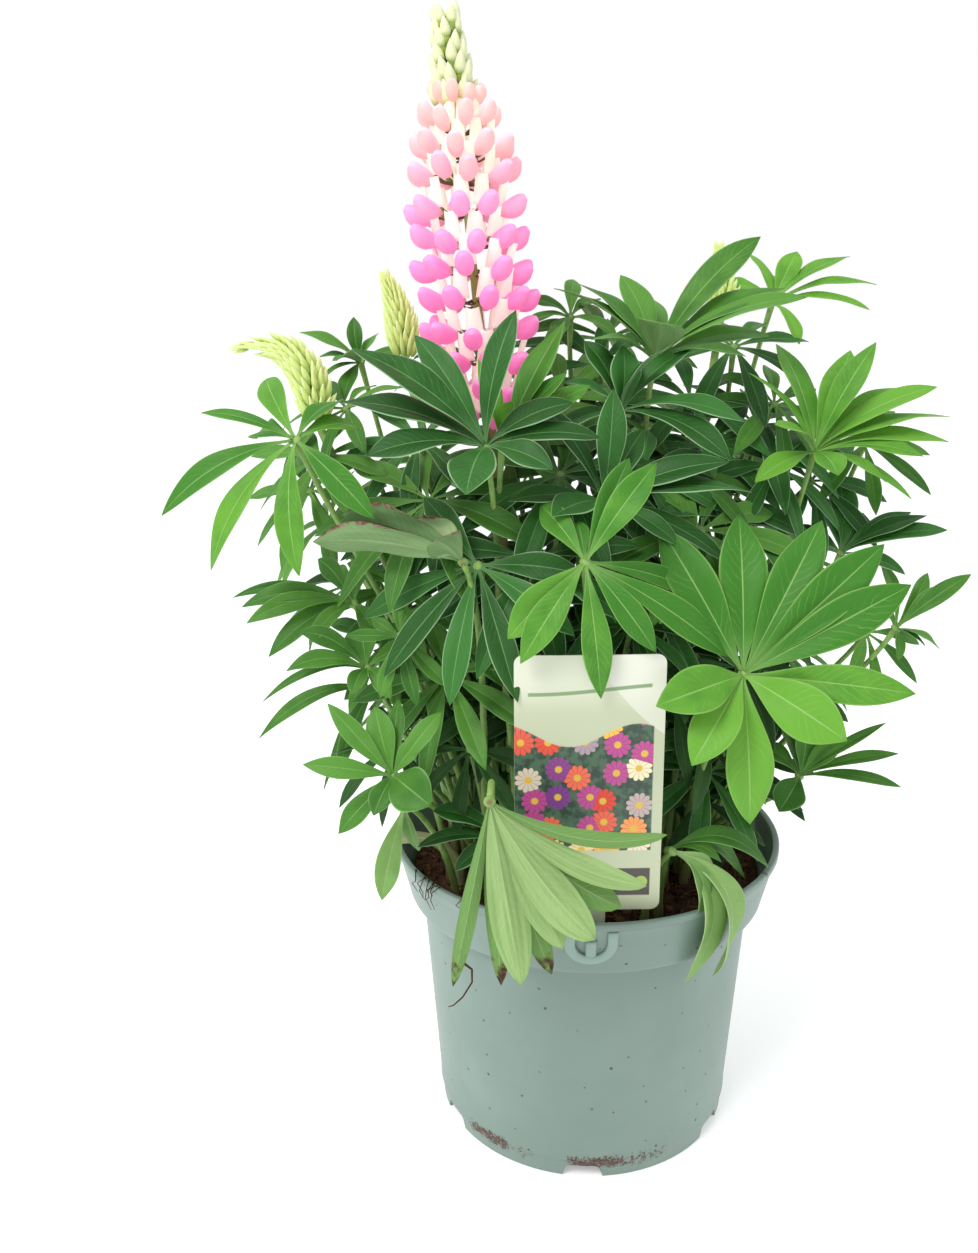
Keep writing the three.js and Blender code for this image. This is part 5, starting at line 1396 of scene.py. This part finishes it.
def labelFinish():
    f = Finish("labelPrint")
    x, _, z = f.split(f.place)
    card = f.blend(f.band(z, 240, 256), paint("bac2a4"), paint("d4d9c4"))
    sweep = f.band(x * 0.9 + z - 258 + (x * 0.09).sine() * 4, -0.6, 0.6)
    card = f.blend(sweep * 0.45, card, paint("ecece4"))
    rule = f.band(abs(z - 252 - (x * 0.05).sine() * 2), 1.0, 0.6) * f.band(abs(x + 6), 26, 25.4)
    card = f.blend(rule * 0.8, card, paint("5d8a4a"))
    crown = picture["top"] + (x * 0.11).sine() * picture["swell"]
    framed = f.band(crown - z, -0.3, 0.3) * f.band(x, picture["right"] + 0.3, picture["right"] - 0.3)
    framed = framed * f.band(z, picture["bottom"] - 0.3, picture["bottom"] + 0.3)
    framed = framed * f.band(x, picture["left"] - 0.3, picture["left"] + 0.3)
    settings = dict(feature="F1", voronoi_dimensions="2D")
    bedX, bedZ = x * picture["scale"], z * picture["scale"]
    spread = {"Vector": f.vector(bedX, bedZ, 0.0), "Scale": 1.0, "Randomness": 0.55}
    distance = f.node("TexVoronoi", settings, spread, output="Distance")
    chance = f.split(f.node("TexVoronoi", settings, spread, output="Color"))[0]
    middle = f.split(f.node("TexVoronoi", settings, spread, output="Position"))
    angle = (bedZ - middle[1]).turnFrom(bedX - middle[0])
    petals = abs((angle * picture["petals"]).sine())
    head = f.band(0.4 + petals * 0.1 - distance, -0.01, 0.02)
    stops = [(0.0, paint("d8402c")), (0.2, paint("ee7a5c")), (0.38, paint("f3c63a")), (0.52, paint("efe3c0")),
             (0.66, paint("6a3a86")), (0.84, paint("b8488e"))]
    heads = f.node("ValToRGB", dict(stops=stops), {0: chance}, output=0)
    heads = f.blend(f.band(petals, 0.45, 0.0) * 0.45, heads, paint("40242c"))
    heads = f.blend(f.band(distance, 0.16, 0.1), heads, paint("d9b23c"))
    ground = f.blend(f.band(f.noise(0.3, 3), 0.4, 0.6), paint("2f4438"), paint("4a6650"))
    tone = f.blend(framed, card, f.blend(head, ground, heads))
    half = (strip["right"] - strip["left"]) / 2
    along = x - (strip["left"] + half)
    rise = z - strip["z"]
    bar = f.band(abs(along), half + 0.3, half - 0.3)
    bar = bar * f.band(abs(rise), strip["high"] + 0.3, strip["high"] - 0.3)
    tone = f.blend(bar, tone, paint("4a4440"))
    step = 2 * half / strip["dots"]
    fromStart = along + half
    fromDot = step / 2 - fromStart.work("PINGPONG", fromStart, step / 2)
    dot = f.band((fromDot * fromDot + rise * rise) ** 0.5, 2.9, 2.5) * bar
    tone = f.blend(dot, tone, f.blend(f.band(along, -2, 2), paint("d8a03c"), paint("9fb85a")))
    return f.surface(tone, 0.34 + f.noise(2.0, 2) * 0.08, f.bump(f.noise(0.05, 2), 0.05, 1.0),
                     **{"Specular IOR Level": 0.45, "Coat Weight": 0.15, "Coat Roughness": 0.2})


def cardFinish():
    f = Finish("labelCard")
    grain = f.noise(1.2, 4)
    tone = f.blend(f.band(grain, 0.3, 0.7), paint("dfdccb"), paint("e8e6d8"))
    return f.surface(tone, 0.45, f.bump(grain, 0.05, 0.2))


def settle(items, key):  # the cuts leave points and faces in an order of their own in each run
    for rank, item in enumerate(sorted(items, key=key)):
        item.index = rank
    items.sort()
    items.index_update()


def makeLabel():
    wide, tongue = label["width"] / 2, label["tongueWidth"] / 2
    corner = label["corner"]
    edge = [(-tongue + 2, label["tongueBottom"]), (tongue - 2, label["tongueBottom"]),
            (tongue, label["tongueBottom"] + 4), (tongue, label["bottom"])]
    low, high = label["bottom"] + corner, label["top"] - corner
    for cx, cz, start in ((wide - corner, low, -90), (wide - corner, high, 0),
                          (corner - wide, high, 90), (corner - wide, low, 180)):
        for step in range(9):
            a = math.radians(start + 90 * step / 8)
            edge.append((cx + corner * math.cos(a), cz + corner * math.sin(a)))
    edge += [(-tongue, label["bottom"]), (-tongue, label["tongueBottom"] + 4)]
    mesh = bmesh.new()
    mesh.faces.new([mesh.verts.new((x + label["x"], 0, z)) for x, z in edge])
    cuts = [((label["x"] - wide + label["width"] * k / 16, 0, 0), (1, 0, 0)) for k in range(1, 16)]
    cuts += [((0, 0, lerp(label["tongueBottom"], label["top"], k / 20)), (0, 0, 1)) for k in range(1, 20)]
    for spot, way in cuts:
        every = mesh.verts[:] + mesh.edges[:] + mesh.faces[:]
        bmesh.ops.bisect_plane(mesh, geom=every, plane_co=spot, plane_no=way)
    for vert in mesh.verts:
        u = (vert.co.x - label["x"]) / wide
        v = max(vert.co.z - label["bottom"], 0) / (label["top"] - label["bottom"])
        vert.co.y = label["y"] - label["thick"] / 2 - 0.9 * v * (1 - u * u) + 1.2 * v * v
    bmesh.ops.solidify(mesh, geom=mesh.faces[:], thickness=label["thick"] * 0.8)
    bmesh.ops.recalc_face_normals(mesh, faces=mesh.faces[:])
    settle(mesh.verts, lambda vert: (vert.co.z, vert.co.x, vert.co.y))
    settle(mesh.faces, lambda face: sorted(vert.index for vert in face.verts))
    for face in mesh.faces:
        face.material_index = 0 if face.normal.y < -0.5 else 1
    for vert in mesh.verts:
        vert.co *= mm
    data = bpy.data.meshes.new("label")
    mesh.to_mesh(data)
    mesh.free()
    data.materials.append(labelFinish())
    data.materials.append(cardFinish())
    return link("label", data)


place(makeLabel(), "label", "label")
print("stage: label")


# floor, light and air

room = dict(floor=9000, shade=0.35)
keyLight = dict(spot=(-0.9, -1.1, 1.9), target=(0, 0, 0.25), size=1.0, power=28,  # in metres
                tint=(1.0, 0.99, 0.96))


def makeStage():
    shape = Shape()
    far = room["floor"]
    shape.add([(-far, -far, 0), (far, -far, 0), (far, far, 0), (-far, far, 0)], [(0, 1, 2, 3)])
    f = Finish("floor")
    tone = f.blend(f.noise(0.01, 2), paint("f1f2f4"), paint("f5f6f7"))
    skin = f.surface(tone, 0.8, **{"Specular IOR Level": 0.05, "Emission Color": (1, 1, 1, 1),
                                   "Emission Strength": 0.3})
    shape.build("floor", [skin])


def makeLight(name, lamp):
    data = bpy.data.lights.new(name, "AREA")
    data.shape = "DISK"
    data.size = lamp["size"]
    data.energy = lamp["power"]
    data.color = lamp["tint"]
    light = link(name, data)
    light.location = lamp["spot"]
    light.rotation_euler = (Vector(lamp["target"]) - light.location).to_track_quat("-Z", "Y").to_euler()


def makeSky():
    air = Nodes(bpy.data.worlds.new("room"))
    y = air.split(air.node("TexCoord", output="Generated"))[1]
    near = air.band(y, 0.1, -0.7) * room["shade"]
    tone = air.blend(near, [1.0, 1.0, 1.0, 1.0], [0.3, 0.3, 0.3, 1.0])
    light = air.node("Background", None, {"Color": tone, "Strength": 1.0})
    bpy.context.scene.world = air.finish(light, "World")
    bpy.context.scene.view_settings.view_transform = "Standard"


makeStage()
makeSky()
makeLight("key", keyLight)
print("stage: floor and light")
